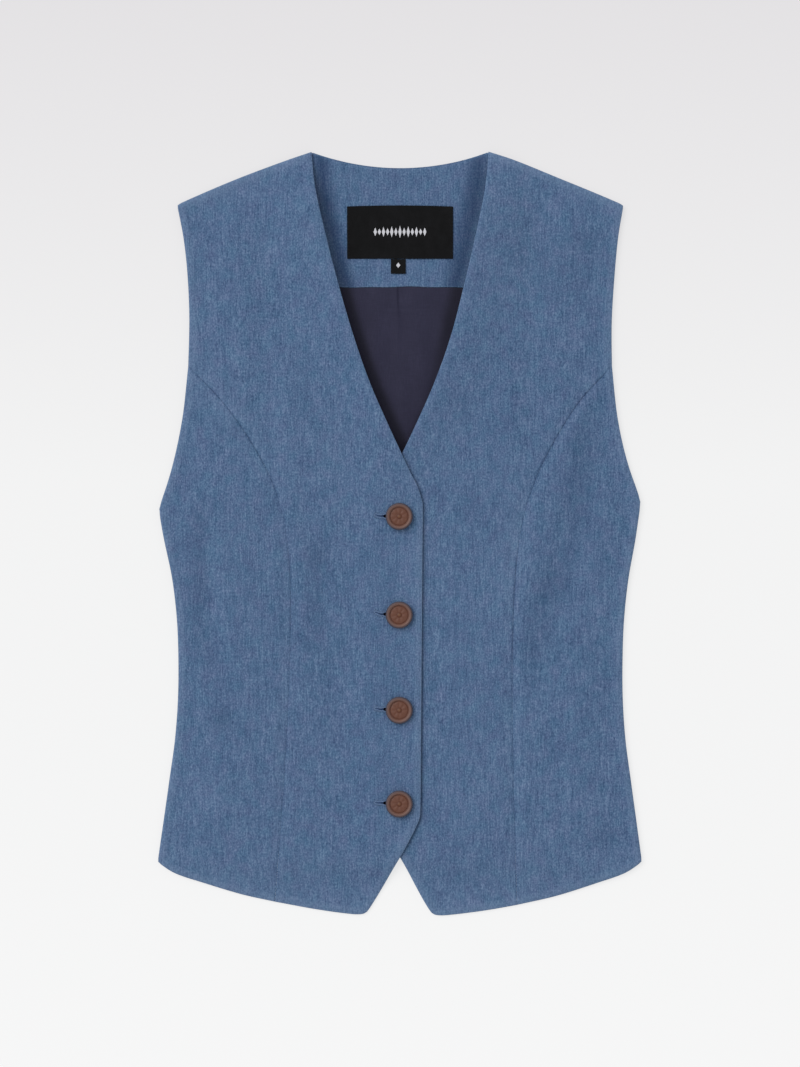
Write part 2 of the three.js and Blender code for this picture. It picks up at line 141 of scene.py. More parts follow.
# How far the garment lies off its pattern, in millimetres across and up, because no hand lays
# cloth down quite evenly
movedAcross = [
    (172, 515, 50, 40, 0, 1.7), (192, 334, 30, 34, 0, 0.3), (180, 220, 85, 40, 0, 0.8),
    (190, 36, 30, 30, 0, 0.5), (24, 3, 30, 22, 0, -1.2), (-42, 480, 130, 14, -17, 0.35),
    (-192, 326, 30, 34, 0, -0.7), (-190, 38, 30, 30, 0, -0.8),
]
movedUp = [
    (192, 334, 36, 34, 0, 3), (92, 600, 30, 26, 0, 1), (90, 4, 50, 60, 0, -1.3),
    (24, 3, 30, 22, 0, -0.4), (190, 36, 30, 30, 0, -0.6), (-192, 326, 36, 34, 0, -2.8),
    (-125, 590, 40, 60, 0, 0.8), (-190, 38, 30, 30, 0, -0.8),
]
# Corners round off: how far each one moves in and up, and the reach of that along and across
roundedCorners = [
    (armhole[0], 0.45, -0.35, 2.2, 2.2), (hemCorner, 0.4, 0.3, 2.2, 2.2), (underarm, 0.5, 0, 4.5, 9),
]
for corner, inward, upward, length, width in roundedCorners:
    for side in (1, -1):
        movedAcross.append((side * corner[0], corner[1], length, width, 0, -side * inward))
        movedUp.append((side * corner[0], corner[1], length, width, 0, upward))
# Creases on the back, which shows only from below
backCreases = [
    (128, 250, 60, 7, 12, 0.7), (-120, 284, 48, 6, -16, 0.6), (-138, 160, 56, 8, 5, 0.7),
    (104, 132, 44, 6, -9, 0.6), (34, 208, 66, 7, 4, 0.55), (-42, 150, 52, 6, -7, 0.5),
    (-128, 420, 40, 8, 30, 0.6), (130, 448, 46, 7, -27, 0.65),
]


def ease(distance, reach):
    share = np.clip(distance / reach, 0, 1)
    return share * share * (3 - 2 * share)


def lineThrough(rows, steps):
    # evenly spaced points on the smooth curve through the rows of an outline
    points = np.array(rows, float)
    padded = np.vstack([2 * points[0] - points[1], points, 2 * points[-1] - points[-2]])
    drawn = []
    for index in range(len(points) - 1):
        p0, p1, p2, p3 = padded[index:index + 4]
        t0, t1, t2 = (math.sqrt(np.linalg.norm(b - a)) for a, b in ((p0, p1), (p1, p2), (p2, p3)))
        leave = ((p1 - p0) / t0 - (p2 - p0) / (t0 + t1) + (p2 - p1) / t1) * t1
        arrive = ((p2 - p1) / t1 - (p3 - p1) / (t1 + t2) + (p3 - p2) / t2) * t1
        for t in np.linspace(0, 1, 40, endpoint=False):
            bend = (2 * (p1 - p2) + leave + arrive) * t ** 3
            bend += (3 * (p2 - p1) - 2 * leave - arrive) * t ** 2
            drawn.append(bend + leave * t + p1)
    drawn.append(points[-1])
    return evenly(np.array(drawn), steps)


def evenly(points, steps):
    walked = np.concatenate([[0], np.cumsum(np.linalg.norm(np.diff(points, axis=0), axis=1))])
    at = np.linspace(0, walked[-1], steps + 1)
    return np.column_stack([np.interp(at, walked, points[:, k]) for k in (0, 1)])


def straightLine(start, end, steps):
    share = np.linspace(0, 1, steps + 1)[:, None]
    return np.array(start, float) * (1 - share) + np.array(end, float) * share


def joined(*lines):
    return np.vstack([lines[0]] + [line[1:] for line in lines[1:]])


def readOff(line, known, wanted, at):
    order = np.argsort(line[:, known], kind="stable")
    return np.interp(at, line[order, known], line[order, wanted])


def atHeight(table, upAt):
    # from rows of height and value that run downwards
    return np.interp(upAt, table[::-1, 0], table[::-1, 1])


half, up = 0, 1  # the two columns of an outline
silhouette = joined(lineThrough(armhole, 400), lineThrough(sideSeam, 400))
fineHem = lineThrough(frontHem, 500)
fineCutAway = lineThrough(cutAway, 200)
fineNeckline = lineThrough([row[:2] for row in neckline], 500)


def steepness(line):
    # how far a distance measured across is longer than the true one, at each height of a line
    slope = np.gradient(line[:, half], line[:, up])
    return np.column_stack([line[:, up], 1 / np.sqrt(1 + slope ** 2)])


def walkedAlong(line):
    steps = np.linalg.norm(np.diff(line, axis=0), axis=1)
    return np.column_stack([line[:, up], np.concatenate([[0], np.cumsum(steps)])])


def frontLines(hand, side, shift):
    # side is -1 for the upper front, at the left, and 1 for the lower front, at the right
    seam = [(row[half] + row[shift], row[up]) for row in shapingSeam]
    seam[-1] = (seam[-1][half], float(readOff(fineHem, half, up, seam[-1][half])))
    neck = [(row[half] + row[shift], row[up]) for row in neckline]
    fineSeam, fineNeck = lineThrough(seam, 600), lineThrough(neck, 500)
    return {
        "hand": hand, "side": side, "seam": seam, "neck": neck,
        "outerHem": frontHem[:hemSeamRow] + [seam[-1]], "innerHem": [seam[-1]] + frontHem[hemSeamRow:],
        "fineSeam": fineSeam, "seamLean": steepness(fineSeam), "seamWalk": walkedAlong(fineSeam),
        "fineNeck": fineNeck, "neckLean": steepness(fineNeck),
    }


upperFront = frontLines("Right", -1, 2)
lowerFront = frontLines("Left", 1, 3)


def shoulderLine(halfAt):
    p = pattern
    share = np.clip((halfAt - p["neckHalf"]) / (p["shoulderHalf"] - p["neckHalf"]), 0, 1)
    line = p["bodyLength"] + (p["shoulderUp"] - p["bodyLength"]) * share
    return line + p["shoulderBulge"] * 4 * share * (1 - share)


def backNeck(halfAt):
    return pattern["bodyLength"] - pattern["neckDrop"] * (1 - (halfAt / pattern["neckHalf"]) ** 2)


def backTop(halfAt):
    return np.where(halfAt < pattern["neckHalf"], backNeck(halfAt), shoulderLine(halfAt))


def backHem(halfAt):
    return hemCorner[up] + pattern["backHemRise"] * (1 - (halfAt / hemCorner[half]) ** 2)


def ridges(rows, x, upAt):
    height = np.zeros_like(x)
    for middleX, middleUp, length, width, lean, rise in rows:
        turn = math.radians(lean)
        dx, dy = x - middleX, upAt - middleUp
        along = dy * math.cos(turn) + dx * math.sin(turn)
        across = dx * math.cos(turn) - dy * math.sin(turn)
        height += rise * np.exp(-(along / length) ** 2 - (across / width) ** 2)
    return height


def sideHalfAt(upAt):
    return readOff(silhouette, up, half, upAt)


def hemUpAt(halfAt):
    return np.where(halfAt < hemTip[half], 0, readOff(fineHem, half, up, halfAt))


def frontUnderside(x, upAt, front):
    # height of the underside of a front above the table
    c = cloth
    side = front["side"]
    halfAt = np.abs(x)
    core = 1 - ease(halfAt - c["coreHalf"], c["coreReach"])
    core = core * ease(upAt - pattern["liningFoot"] + c["coreFade"], c["coreFade"])
    fromSide = sideHalfAt(upAt) - halfAt
    fromHem = upAt - hemUpAt(halfAt)
    belowBack = backHem(np.minimum(halfAt, hemCorner[half])) - c["droopMargin"] - upAt
    held = 1 - ease(belowBack, c["droopReach"])
    spread = ease(fromSide, c["sideReach"]) * ease(shoulderLine(halfAt) - upAt, c["shoulderReach"])
    body = spread * ease(fromHem, c["hemReach"])
    fromNeck = halfAt - readOff(fineNeckline, up, half, np.maximum(upAt, pattern["lapTop"]))
    neck = c["neckLift"] * (1 - ease(fromNeck, c["neckReach"]))
    neck = neck * ease(upAt - pattern["lapTop"], c["neckOnset"]) * spread
    fromSeam = np.abs(halfAt - readOff(front["fineSeam"], up, half, upAt))
    inSeam = np.where(upAt < armhole[seamStart][up], 1 - ease(fromSeam, c["valleyReach"]), 0)
    acrossLap = ease(pattern["lapHalf"] + c["lapReach"] - halfAt, c["lapReach"])
    acrossLap = np.where(x * side < 0, 1, acrossLap)
    alongLap = ease(fromHem, c["tipReach"]) * (1 - ease(upAt - pattern["pointOfV"], c["neckOnset"]))
    lap = (c["lapRise"] if side < 0 else -c["lapSink"]) * acrossLap * alongLap
    raised = (c["facingWall"] + c["seamGap"]) * core + neck + lap
    raised = raised + (c["loft"] + ridges(folds, x, upAt) - c["seamValley"] * inSeam) * body
    return np.maximum((c["backWall"] + c["layGap"] + raised) * held, 0)


# How the made-up edges and the shaping seams look close to
finish = {
    "edgeDrop": 0.5, "edgeReach": 2.0,  # a turned edge rounds down
    "sewnDrop": 0.28, "sewnFade": 14, "sewnOutward": 0.15,  # and further where sewn to the back
    "edgeBand": 0.2, "edgeBandReach": 6,  # over the turnings that lie inside it
    "grooveDepth": 0.12, "grooveReach": 1.0,
    "allowance": 9, "allowanceRise": 0.13, "allowanceFade": 5,
    "creaseReach": 16, "creaseHemReach": 30, "unevenRise": 0.11,
    "shoulderLean": 0.93, "hemLean": 0.97, "cutAwayLean": 0.86,  # true distance for one up or across
    "puckerLength": 6.4, "puckerReach": 6.0,
    "faintUp": 318, "faintReach": 26, "faintShare": 0.6,  # here the seam hardly shows
}
# Where the shaping seams pucker, over what length, and how deeply
puckers = [(398, 42, 0.2), (340, 26, 0.13), (262, 60, 0.06), (96, 60, 0.07)]


def inFromNeck(x, upAt, front):
    # true distance out of the neck opening and into a front, negative inside the opening
    inward = x * front["side"] - readOff(front["fineNeck"], up, half, upAt)
    return inward * atHeight(front["neckLean"], upAt)


def inFromOuterEdge(x, upAt):
    # the same from the armhole, the side seam, the shoulder and the hem
    halfAt = np.abs(x)
    toSide = sideHalfAt(upAt) - halfAt
    toShoulder = (shoulderLine(halfAt) - upAt) * finish["shoulderLean"]
    toHem = np.where(halfAt > hemTip[half], (upAt - hemUpAt(halfAt)) * finish["hemLean"], toSide)
    return np.minimum(np.minimum(toSide, toShoulder), toHem)


def inFromLap(x, upAt, front):
    # the same from the front edge and the cut-away point
    p = pattern
    inward = x * front["side"]
    lapAt = np.interp(upAt, [p["lapFoot"], p["lapTop"]], [p["lapFootHalf"], p["lapHalf"]])
    toPoint = (inward - readOff(fineCutAway, up, half, upAt)) * finish["cutAwayLean"]
    return np.where(upAt < p["lapFoot"], toPoint, inward + lapAt)


def fromBackSeams(x, upAt):
    # the same from the shoulder seam and the side seam only
    halfAt = np.abs(x)
    aboveSideSeam = np.maximum(upAt - underarm[up] + finish["sewnFade"], 0)
    toSide = sideHalfAt(upAt) - halfAt + aboveSideSeam * finish["sewnOutward"]
    return np.minimum(toSide, (shoulderLine(halfAt) - upAt) * finish["shoulderLean"])


def fromInnerEdge(x, upAt, front):
    return np.where(upAt > pattern["lapTop"], inFromNeck(x, upAt, front), inFromLap(x, upAt, front))


def fromFreeEdge(x, upAt, front):
    return np.maximum(np.minimum(inFromOuterEdge(x, upAt), fromInnerEdge(x, upAt, front)), 0)


def fromShapingSeam(x, upAt, front):
    start = armhole[seamStart]
    away = np.abs(np.abs(x) - readOff(front["fineSeam"], up, half, upAt))
    away = away * atHeight(front["seamLean"], upAt)
    return np.where(upAt < start[up], away, np.hypot(np.abs(x) - start[half], upAt - start[up]))


def seamStrength(upAt):
    f = finish
    return 1 - f["faintShare"] * np.exp(-((upAt - f["faintUp"]) / f["faintReach"]) ** 2)


# Where the shaping seams stand out as a dark line: from and to which height, over what length
# that comes and goes, and how strongly
crispStretches = {
    "Right": [(322, 439, 40, 9, 1), (218, 302, 40, 16, 0.7)],
    "Left": [(306, 439, 30, 9, 1), (264, 340, 20, 20, 1.5), (180, 322, 50, 16, 0.9)],
}


def seamCrispness(upAt, front):
    crisp = np.zeros_like(upAt)
    for foot, head, fadeIn, fadeOut, share in crispStretches[front["hand"]]:
        crisp = np.maximum(crisp, share * (ease(upAt - foot, fadeIn) * ease(head - upAt, fadeOut)))
    return crisp


def unevenness(x, upAt):
    # the cloth never lies quite smooth
    wave = np.sin(x / 17 + 1.3 * np.sin(upAt / 41) + 0.4) * np.sin(upAt / 23 + 0.8 * np.sin(x / 29))
    wave = wave + 0.6 * np.sin(x / 9.5 - upAt / 31 + 1.1) * np.sin(upAt / 13.5 + x / 47)
    return wave + 0.5 * np.sin(x / 33 + upAt / 27 + 2.1 * np.sin(upAt / 67))


def frontTop(x, upAt, front):
    f = finish
    edge = fromFreeEdge(x, upAt, front)
    away = fromShapingSeam(x, upAt, front)
    height = frontUnderside(x, upAt, front) + cloth["frontWall"]
    free = ease(edge, f["creaseReach"]) * ease(upAt - hemUpAt(np.abs(x)), f["creaseHemReach"])
    height = height + (ridges(creases, x, upAt) + f["unevenRise"] * unevenness(x, upAt)) * free
    height = height - f["edgeDrop"] * (1 - ease(edge, f["edgeReach"]))
    height = height - f["sewnDrop"] * (1 - ease(fromBackSeams(x, upAt), f["edgeReach"]))
    height = height + f["edgeBand"] * (1 - ease(edge - f["edgeBandReach"], 3)) * ease(edge, 3)
    height = height - f["grooveDepth"] * seamStrength(upAt) * np.exp(-(away / f["grooveReach"]) ** 2)
    allowance = 1 - ease(away - f["allowance"] - 1.5 * np.sin(upAt / 19), f["allowanceFade"])
    height = height + f["allowanceRise"] * allowance * ease(away, 2.5)
    walked = atHeight(front["seamWalk"], upAt)
    phase = 2 * math.pi * walked / f["puckerLength"] + 1.8 * np.sin(walked / 23 + front["side"])
    depth = sum(deep * np.exp(-((upAt - middle) / spread) ** 2) for middle, spread, deep in puckers)
    strength = 0.7 + 0.3 * np.sin(walked / 31 + 2 * front["side"])
    swell = np.sin(phase + 0.9 * np.sin(walked / 8.3)) * strength
    height = height + depth * swell * np.exp(-away / f["puckerReach"])
    return np.maximum(height, cloth["frontShell"] + 0.02)


def toFrame(x, upAt, height):
    return np.column_stack([x, upAt - pattern["bodyLength"] / 2, height]) * mm


def linked(name, mesh):
    piece = bpy.data.objects.new(name, mesh)
    bpy.context.scene.collection.objects.link(piece)
    return piece


def meshFrom(bm, name, smooth=True):
    mesh = bpy.data.meshes.new(name)
    bm.to_mesh(mesh)
    bm.free()
    mesh.polygons.foreach_set("use_smooth", [smooth] * len(mesh.polygons))
    return linked(name, mesh)


def clothShell(name, columns, rows, place, wall, rim, wearAndPaintedLight=None, rimShare=None):
    # a flat grid laid on its pattern, then given its thickness and a rounded rim
    bm = bmesh.new()
    bmesh.ops.create_grid(bm, x_segments=columns, y_segments=rows, size=0.5)
    weights = bm.edges.layers.float.new("bevel_weight_edge")
    for edge in bm.edges:
        edge[weights] = 1.0 if edge.is_boundary else 0.0
    piece = meshFrom(bm, name)
    mesh = piece.data
    flat = np.empty(len(mesh.vertices) * 3)
    mesh.vertices.foreach_get("co", flat)
    flat = flat.reshape(-1, 3) + 0.5
    x, upAt, height = place(flat[:, 0], flat[:, 1])
    laidX, laidUp = x + ridges(movedAcross, x, upAt), upAt + ridges(movedUp, x, upAt)
    mesh.vertices.foreach_set("co", toFrame(laidX, laidUp, height).ravel())
    # colour changes for wear, together with painted shade and painted highlight, carried to the material
    if wearAndPaintedLight is not None:
        mesh.attributes.new("wearAndPaintedLight", "FLOAT", "POINT").data.foreach_set("value", wearAndPaintedLight(x, upAt))
    if rimShare is not None:
        ends = np.empty(len(mesh.edges) * 2, int)
        mesh.edges.foreach_get("vertices", ends)
        shares = rimShare(x, upAt)[ends].reshape(-1, 2).min(1)
        kept = np.empty(len(mesh.edges))
        mesh.attributes["bevel_weight_edge"].data.foreach_get("value", kept)
        mesh.attributes["bevel_weight_edge"].data.foreach_set("value", kept * shares)
    mesh.update()
    thicken = piece.modifiers.new("wall", "SOLIDIFY")
    thicken.thickness = wall * mm
    thicken.offset = -1
    soften = piece.modifiers.new("rim", "BEVEL")
    soften.width = rim * mm
    soften.segments = 3
    soften.limit_method = "WEIGHT"
    return piece


def patchOf(foot, head, left, right):
    # points inside four sides that meet at their ends
    corners = foot[0], foot[-1], head[0], head[-1]

    def along(line, share):
        at = np.linspace(0, 1, len(line))
        return np.column_stack([np.interp(share, at, line[:, 0]), np.interp(share, at, line[:, 1])])

    def place(u, v):
        uCol, vCol = u[:, None], v[:, None]
        spot = along(foot, u) * (1 - vCol) + along(head, u) * vCol
        spot += along(left, v) * (1 - uCol) + along(right, v) * uCol
        spot -= (corners[0] * (1 - uCol) + corners[1] * uCol) * (1 - vCol)
        spot -= (corners[2] * (1 - uCol) + corners[3] * uCol) * vCol
        return spot[:, 0], spot[:, 1]

    return place


def mirroredTo(side, line):
    return line * np.array([side, 1.0])


frontPanel = {
    "columns": 64, "rowsPerStep": 11, "rim": 0.8,
    "steps": {"seam": 26, "upperArmhole": 8, "cutAway": 8, "frontEdge": 8, "neck": 18},
}
# it has as many rows as the front panel has along the seam
sidePanel = {"columns": 56, "rows": 286, "rim": 0.8}
# How the fronts' colour changes: free edges and hem lighter, partly worn and partly painted highlight;
# shoulders lighter; shaping seams darker in the dye; painted shadow beside the lapping edge
wearAndPaintedLightAt = {
    "edge": 1.5, "edgeValue": 0.6, "band": 5.0, "bandFade": 1.8, "bandValue": 0.45, "neckShare": 0.35,
    "shoulder": 14, "shoulderValue": 0.3, "hem": 28, "hemValue": 0.24,
    "seam": 0.55, "seamValue": -0.2, "turning": 3.4, "turningReach": 2, "turningValue": 0.16,
    "crispValue": -0.34, "seamUneven": 0.45, "crispEven": 0.25,
    "rimBeside": 0.5, "seamRim": 0.2, "crispRim": 0.22,  # how much of the rim the seam keeps
    "lap": 1.6, "lapShadowValue": -0.42, "lapFootShare": 0.6, "lapFadeFrom": 130, "lapFade": 110,
}


def frontOutline(front):
    steps = {key: value * frontPanel["rowsPerStep"] for key, value in frontPanel["steps"].items()}
    seam = lineThrough(front["seam"], steps["seam"])[::-1]
    outer = joined(seam, lineThrough(armhole[:seamStart + 1], steps["upperArmhole"])[::-1])
    inner = joined(
        lineThrough(cutAway, steps["cutAway"]),
        straightLine(cutAway[-1], front["neck"][-1], steps["frontEdge"]),
        lineThrough(front["neck"], steps["neck"])[::-1],
    )
    foot = lineThrough(front["innerHem"], frontPanel["columns"])[::-1]
    foot[-1] = outer[0]
    shoulderHalf = np.linspace(pattern["neckHalf"], pattern["shoulderHalf"], frontPanel["columns"] + 1)
    head = np.column_stack([shoulderHalf, shoulderLine(shoulderHalf)])
    return foot, head, inner, outer


def sideOutline(front):
    inner = lineThrough(front["seam"], sidePanel["rows"])[::-1]
    outer = lineThrough(sideSeam, sidePanel["rows"])[::-1]
    foot = lineThrough(front["outerHem"], sidePanel["columns"])[::-1]
    head = lineThrough(armhole[seamStart:], sidePanel["columns"])
    foot[0], head[0] = inner[0], inner[-1]
    return foot, head, inner, outer


def frontPiece(name, outline, settings, rows, front):
    side = front["side"]
    foot, head, inner, outer = (mirroredTo(side, line) for line in outline(front))
    if side < 0:
        patch = patchOf(foot[::-1], head[::-1], outer, inner)
    else:
        patch = patchOf(foot, head, inner, outer)

    def place(u, v):
        x, upAt = patch(u, v)
        return x, upAt, frontTop(x, upAt, front)

    def wearAndPaintedLight(x, upAt):
        w = wearAndPaintedLightAt
        edge = fromFreeEdge(x, upAt, front)
        atNeck = (upAt > pattern["lapTop"]) & (inFromNeck(x, upAt, front) < inFromOuterEdge(x, upAt))
        seam = fromShapingSeam(x, upAt, front)
        # the free edges are lighter, partly worn and partly painted highlight, less so at the neck
        band = w["bandValue"] * (1 - ease(edge - w["band"], w["bandFade"]))
        wornAndPaintedLight = (band + w["edgeValue"] * (1 - ease(edge, w["edge"]))) * np.where(atNeck, w["neckShare"], 1)
        wornAndPaintedLight = wornAndPaintedLight + w["turningValue"] * np.exp(-((seam - w["turning"]) / w["turningReach"]) ** 2)
        crisp = seamCrispness(upAt, front)
        swing = np.sin(upAt / 5.3 + 2 * np.sin(upAt / 17) + front["side"])
        uneven = 1 + (w["seamUneven"] - w["crispEven"] * crisp) * swing
        seamDye = (w["seamValue"] + w["crispValue"] * crisp) * uneven * seamStrength(upAt)
        wornAndPaintedLight = wornAndPaintedLight + seamDye * np.exp(-(seam / w["seam"]) ** 2)
        wornAndPaintedLight = wornAndPaintedLight + w["shoulderValue"] * (1 - ease(shoulderLine(np.abs(x)) - upAt, w["shoulder"]))
        # lighter above the hem, partly worn and partly painted highlight
        wornAndPaintedLight = wornAndPaintedLight + w["hemValue"] * (1 - ease(upAt - hemUpAt(np.abs(x)), w["hem"]))
        # painted shade and painted highlight of the folds and creases
        wornAndPaintedLight = wornAndPaintedLight + ridges(paintedFoldShading, x, upAt)
        if front is lowerFront:
            # painted shadow, darkest beside the edge that laps over this front
            outside = np.maximum(-fromInnerEdge(x, upAt, upperFront), 0)
            atFoot = 1 - ease(upAt - w["lapFadeFrom"], w["lapFade"])
            lapShadow = w["lapShadowValue"] * (1 + w["lapFootShare"] * atFoot) * (upAt < pattern["pointOfV"])
            wornAndPaintedLight = wornAndPaintedLight + lapShadow * np.exp(-(outside / w["lap"]) ** 2)
        return wornAndPaintedLight

    def rimShare(x, upAt):
        w = wearAndPaintedLightAt
        seamRim = (w["seamRim"] + w["crispRim"] * seamCrispness(upAt, front)) * seamStrength(upAt)
        return np.where(fromShapingSeam(x, upAt, front) < w["rimBeside"], seamRim, 1.0)

    shell = cloth["frontShell"]
    return clothShell(name, settings["columns"], rows, place, shell, settings["rim"], wearAndPaintedLight, rimShare)


pieces = {}
frontRows = 34 * frontPanel["rowsPerStep"]
for front in (upperFront, lowerFront):
    name = "frontPanel" + front["hand"]
    pieces[name] = frontPiece(name, frontOutline, frontPanel, frontRows, front)
    name = "sidePanel" + front["hand"]
    pieces[name] = frontPiece(name, sideOutline, sidePanel, sidePanel["rows"], front)
print("fronts:", frontRows, "rows each")


def symmetricPatch(edge, columns, footUp, headUp):
    # one sheet from side to side: edge runs up its right-hand side
    share = np.linspace(-1, 1, columns + 1)
    foot = np.column_stack([share * edge[0, 0], footUp(np.abs(share * edge[0, 0]))])
    head = np.column_stack([share * edge[-1, 0], headUp(np.abs(share * edge[-1, 0]))])
    return patchOf(foot, head, mirroredTo(-1, edge), edge)


backPanel = {
    "columns": 128, "rows": 176, "rim": 0.6, "creaseReach": 24, "creaseHemReach": 40,
    "flatHalf": 86, "flatHalfReach": 20, "flatUp": 330, "flatUpReach": 60,  # below the lining
}


def makeBack():
    b = backPanel
    upperRows = b["rows"] * 10 // 22
    edge = joined(lineThrough(armhole, upperRows), lineThrough(sideSeam, b["rows"] - upperRows))
    edge = edge[::-1] - np.array([pattern["backInset"], 0])
    edge[-1, 1] = backTop(edge[-1, 0])
    edge[0, 1] = backHem(edge[0, 0])
    patch = symmetricPatch(edge, b["columns"], backHem, backTop)

    def place(u, v):
        x, upAt = patch(u, v)
        halfAt = np.abs(x)
        inside = ease(sideHalfAt(upAt) - halfAt, b["creaseReach"])
        inside = inside * ease(upAt - backHem(halfAt), b["creaseHemReach"])
        outside = ease(halfAt - b["flatHalf"], b["flatHalfReach"])
        clear = 1 - ease(upAt - b["flatUp"], b["flatUpReach"]) * (1 - outside)
        return x, upAt, cloth["backWall"] + ridges(backCreases, x, upAt) * inside * clear

    return clothShell("backPanel", b["columns"], b["rows"], place, cloth["backWall"], b["rim"])


pieces["backPanel"] = makeBack()
skinFloor = cloth["backWall"] + cloth["seamGap"]


def skinEdge(footUp, headUp, steps):
    ups = np.linspace(footUp, headUp, steps + 1)
    halfAt = readOff(fineNeckline, up, half, ups) + pattern["tuckUnder"]
    return np.column_stack([np.maximum(halfAt, pattern["liningFootHalf"]), ups])


# Painted shade beside the opening's standing edges, darkening the facing and the lining there: for which
# front, how dark, the share of that right at the edge, how far it lasts and fades, and from which height
# up
facingPaintedShade = [(upperFront, 1.0, 0.35, 6, 13, 0), (lowerFront, 0.97, 0.4, 7, 16, 0)]
liningPaintedShade = [(upperFront, 0.6, 0.6, 4, 8, 0), (lowerFront, 0.58, 0.9, 4, 11, 405)]


def paintedNeckShade(rows, x, upAt):
    depth = np.zeros_like(x)
    for front, deepest, atEdge, full, reach, foot in rows:
        inside = -inFromNeck(x, upAt, front)
        fade = ease(upAt - foot, 80)
        here = deepest * (atEdge + (1 - atEdge) * ease(inside, 6))
        here = here * (1 - ease(inside - full * fade, reach * (0.3 + 0.7 * fade)))
        depth = np.maximum(depth, here * (0.25 + 0.75 * fade))
    return depth


def levelAt(height):
    return lambda halfAt: 0 * halfAt + height


neckFacing = {
    "columns": 108, "rows": 72, "rim": 0.55, "topInset": 1, "wave": 0.12, "cornerUp": 604,
    "headDrop": 0.4, "headReach": 2.4, "headWornAndLit": 0.3, "headWornAndLitReach": 2.6,
    "footDrop": 0.3, "footReach": 1.6, "footWornAndLit": 0.9, "footWornAndLitReach": 1.5,
}


def facingFootAt(x):
    # a turned lower edge is never quite straight
    return pattern["facingFoot"] + 0.3 * np.sin(x / 12 + 0.8) + 0.22 * np.sin(x / 5.1)


def makeFacing():
    f = neckFacing
    headHalf = pattern["neckHalf"] + pattern["tuckUnder"]

    def headUp(halfAt):
        return backTop(halfAt) - f["topInset"]

    edge = skinEdge(pattern["facingFoot"], headUp(headHalf), f["rows"])
    patch = symmetricPatch(edge, f["columns"], levelAt(pattern["facingFoot"]), headUp)

    def place(u, v):
        x, upAt = patch(u, v)
        upAt = upAt + (facingFootAt(x) - pattern["facingFoot"]) * (1 - v) ** 4
        fromFoot = upAt - facingFootAt(x)
        fromTop = headUp(np.abs(x)) - upAt
        height = skinFloor + cloth["facingWall"] + f["wave"] * unevenness(x * 1.3, upAt)
        height = height - f["headDrop"] * (1 - ease(fromTop, f["headReach"]))
        height = height - f["footDrop"] * (1 - ease(fromFoot, f["footReach"]))
        return x, upAt, np.maximum(height, cloth["backWall"] + cloth["facingWall"] + 0.05)

    def wearAndPaintedLight(x, upAt):
        fromFoot = upAt - facingFootAt(x)
        fromTop = headUp(np.abs(x)) - upAt
        # the turned foot and the top edge are lighter, partly worn and partly painted highlight
        wornAndPaintedLight = f["footWornAndLit"] * (1 - ease(fromFoot, f["footWornAndLitReach"]))
        wornAndPaintedLight = wornAndPaintedLight + f["headWornAndLit"] * (1 - ease(fromTop, f["headWornAndLitReach"]))
        # painted shade beside the standing neck edges
        return wornAndPaintedLight - paintedNeckShade(facingPaintedShade, x, upAt)

    return clothShell("neckFacing", f["columns"], f["rows"], place, cloth["facingWall"], f["rim"], wearAndPaintedLight)


pieces["neckFacing"] = makeFacing()

backLining = {
    "columns": 150, "rows": 130, "rim": 0.3, "headGap": 0.15,
    "pleatX": -2.2, "pleatWidth": 8, "pleatRise": 0.3, "pleatFoot": 430, "pleatReach": 50,
    "sharpRise": 0.35, "sharpFoot": 474, "sharpReach": 20, "pleatShade": 0.22,
    "tackUp": 485.5, "tackFrom": -14, "tackTo": 26, "tackDepth": 0.24,
}
liningRipples = [
    (-20, 456, 40, 6, 4, 0.4), (16, 448, 44, 7, -5, 0.4), (33, 476, 26, 5, -12, 0.25),
    (-36, 482, 22, 5, 10, 0.2), (-8, 452, 16, 4, 8, -0.2), (2, 410, 30, 5, 2, 0.25),
]


def makeLining():
    s = backLining
    headUp = pattern["facingFoot"] - cloth["seamGap"]
    edge = skinEdge(pattern["liningFoot"], headUp, s["rows"])
    patch = symmetricPatch(edge, s["columns"], levelAt(pattern["liningFoot"]), levelAt(headUp))

    def place(u, v):
        x, upAt = patch(u, v)
        upAt = upAt + (facingFootAt(x) - s["headGap"] - headUp) * v ** 8
        across = s["pleatX"] - x
        sharp = ease(upAt - s["sharpFoot"], s["sharpReach"])
        crisp = 0.3 + 4 * (1 - sharp)
        fold = ease(across + crisp, crisp) * np.exp(-np.maximum(across, 0) / s["pleatWidth"])
        rise = s["pleatRise"] * ease(upAt - s["pleatFoot"], s["pleatReach"]) + s["sharpRise"] * sharp
        height = skinFloor + cloth["liningWall"] + rise * fold
        height = height + ridges(liningRipples, x, upAt) + 0.06 * unevenness(x * 2, upAt * 1.4)
        span = ease(x - s["tackFrom"], 5) * ease(s["tackTo"] - x, 5)
        for drop, depth in ((0, 1), (5.5, 0.6)):
            line = np.exp(-((upAt - s["tackUp"] + drop + 0.02 * x) / 0.9) ** 2)
            height = height - s["tackDepth"] * depth * span * line
        return x, upAt, np.maximum(height, cloth["backWall"] + cloth["liningWall"] + 0.05)

    def wearAndPaintedLight(x, upAt):
        sharp = ease(upAt - s["sharpFoot"], s["sharpReach"])
        fold = np.exp(-((x - s["pleatX"] - 0.6) / 0.7) ** 2)
        # painted shade beside the standing neck edges and painted shadow along the pleat
        return -np.maximum(paintedNeckShade(liningPaintedShade, x, upAt), s["pleatShade"] * sharp * fold)

    return clothShell("liningPanel", s["columns"], s["rows"], place, cloth["liningWall"], s["rim"], wearAndPaintedLight)


pieces["liningPanel"] = makeLining()
print("back, facing and lining laid")

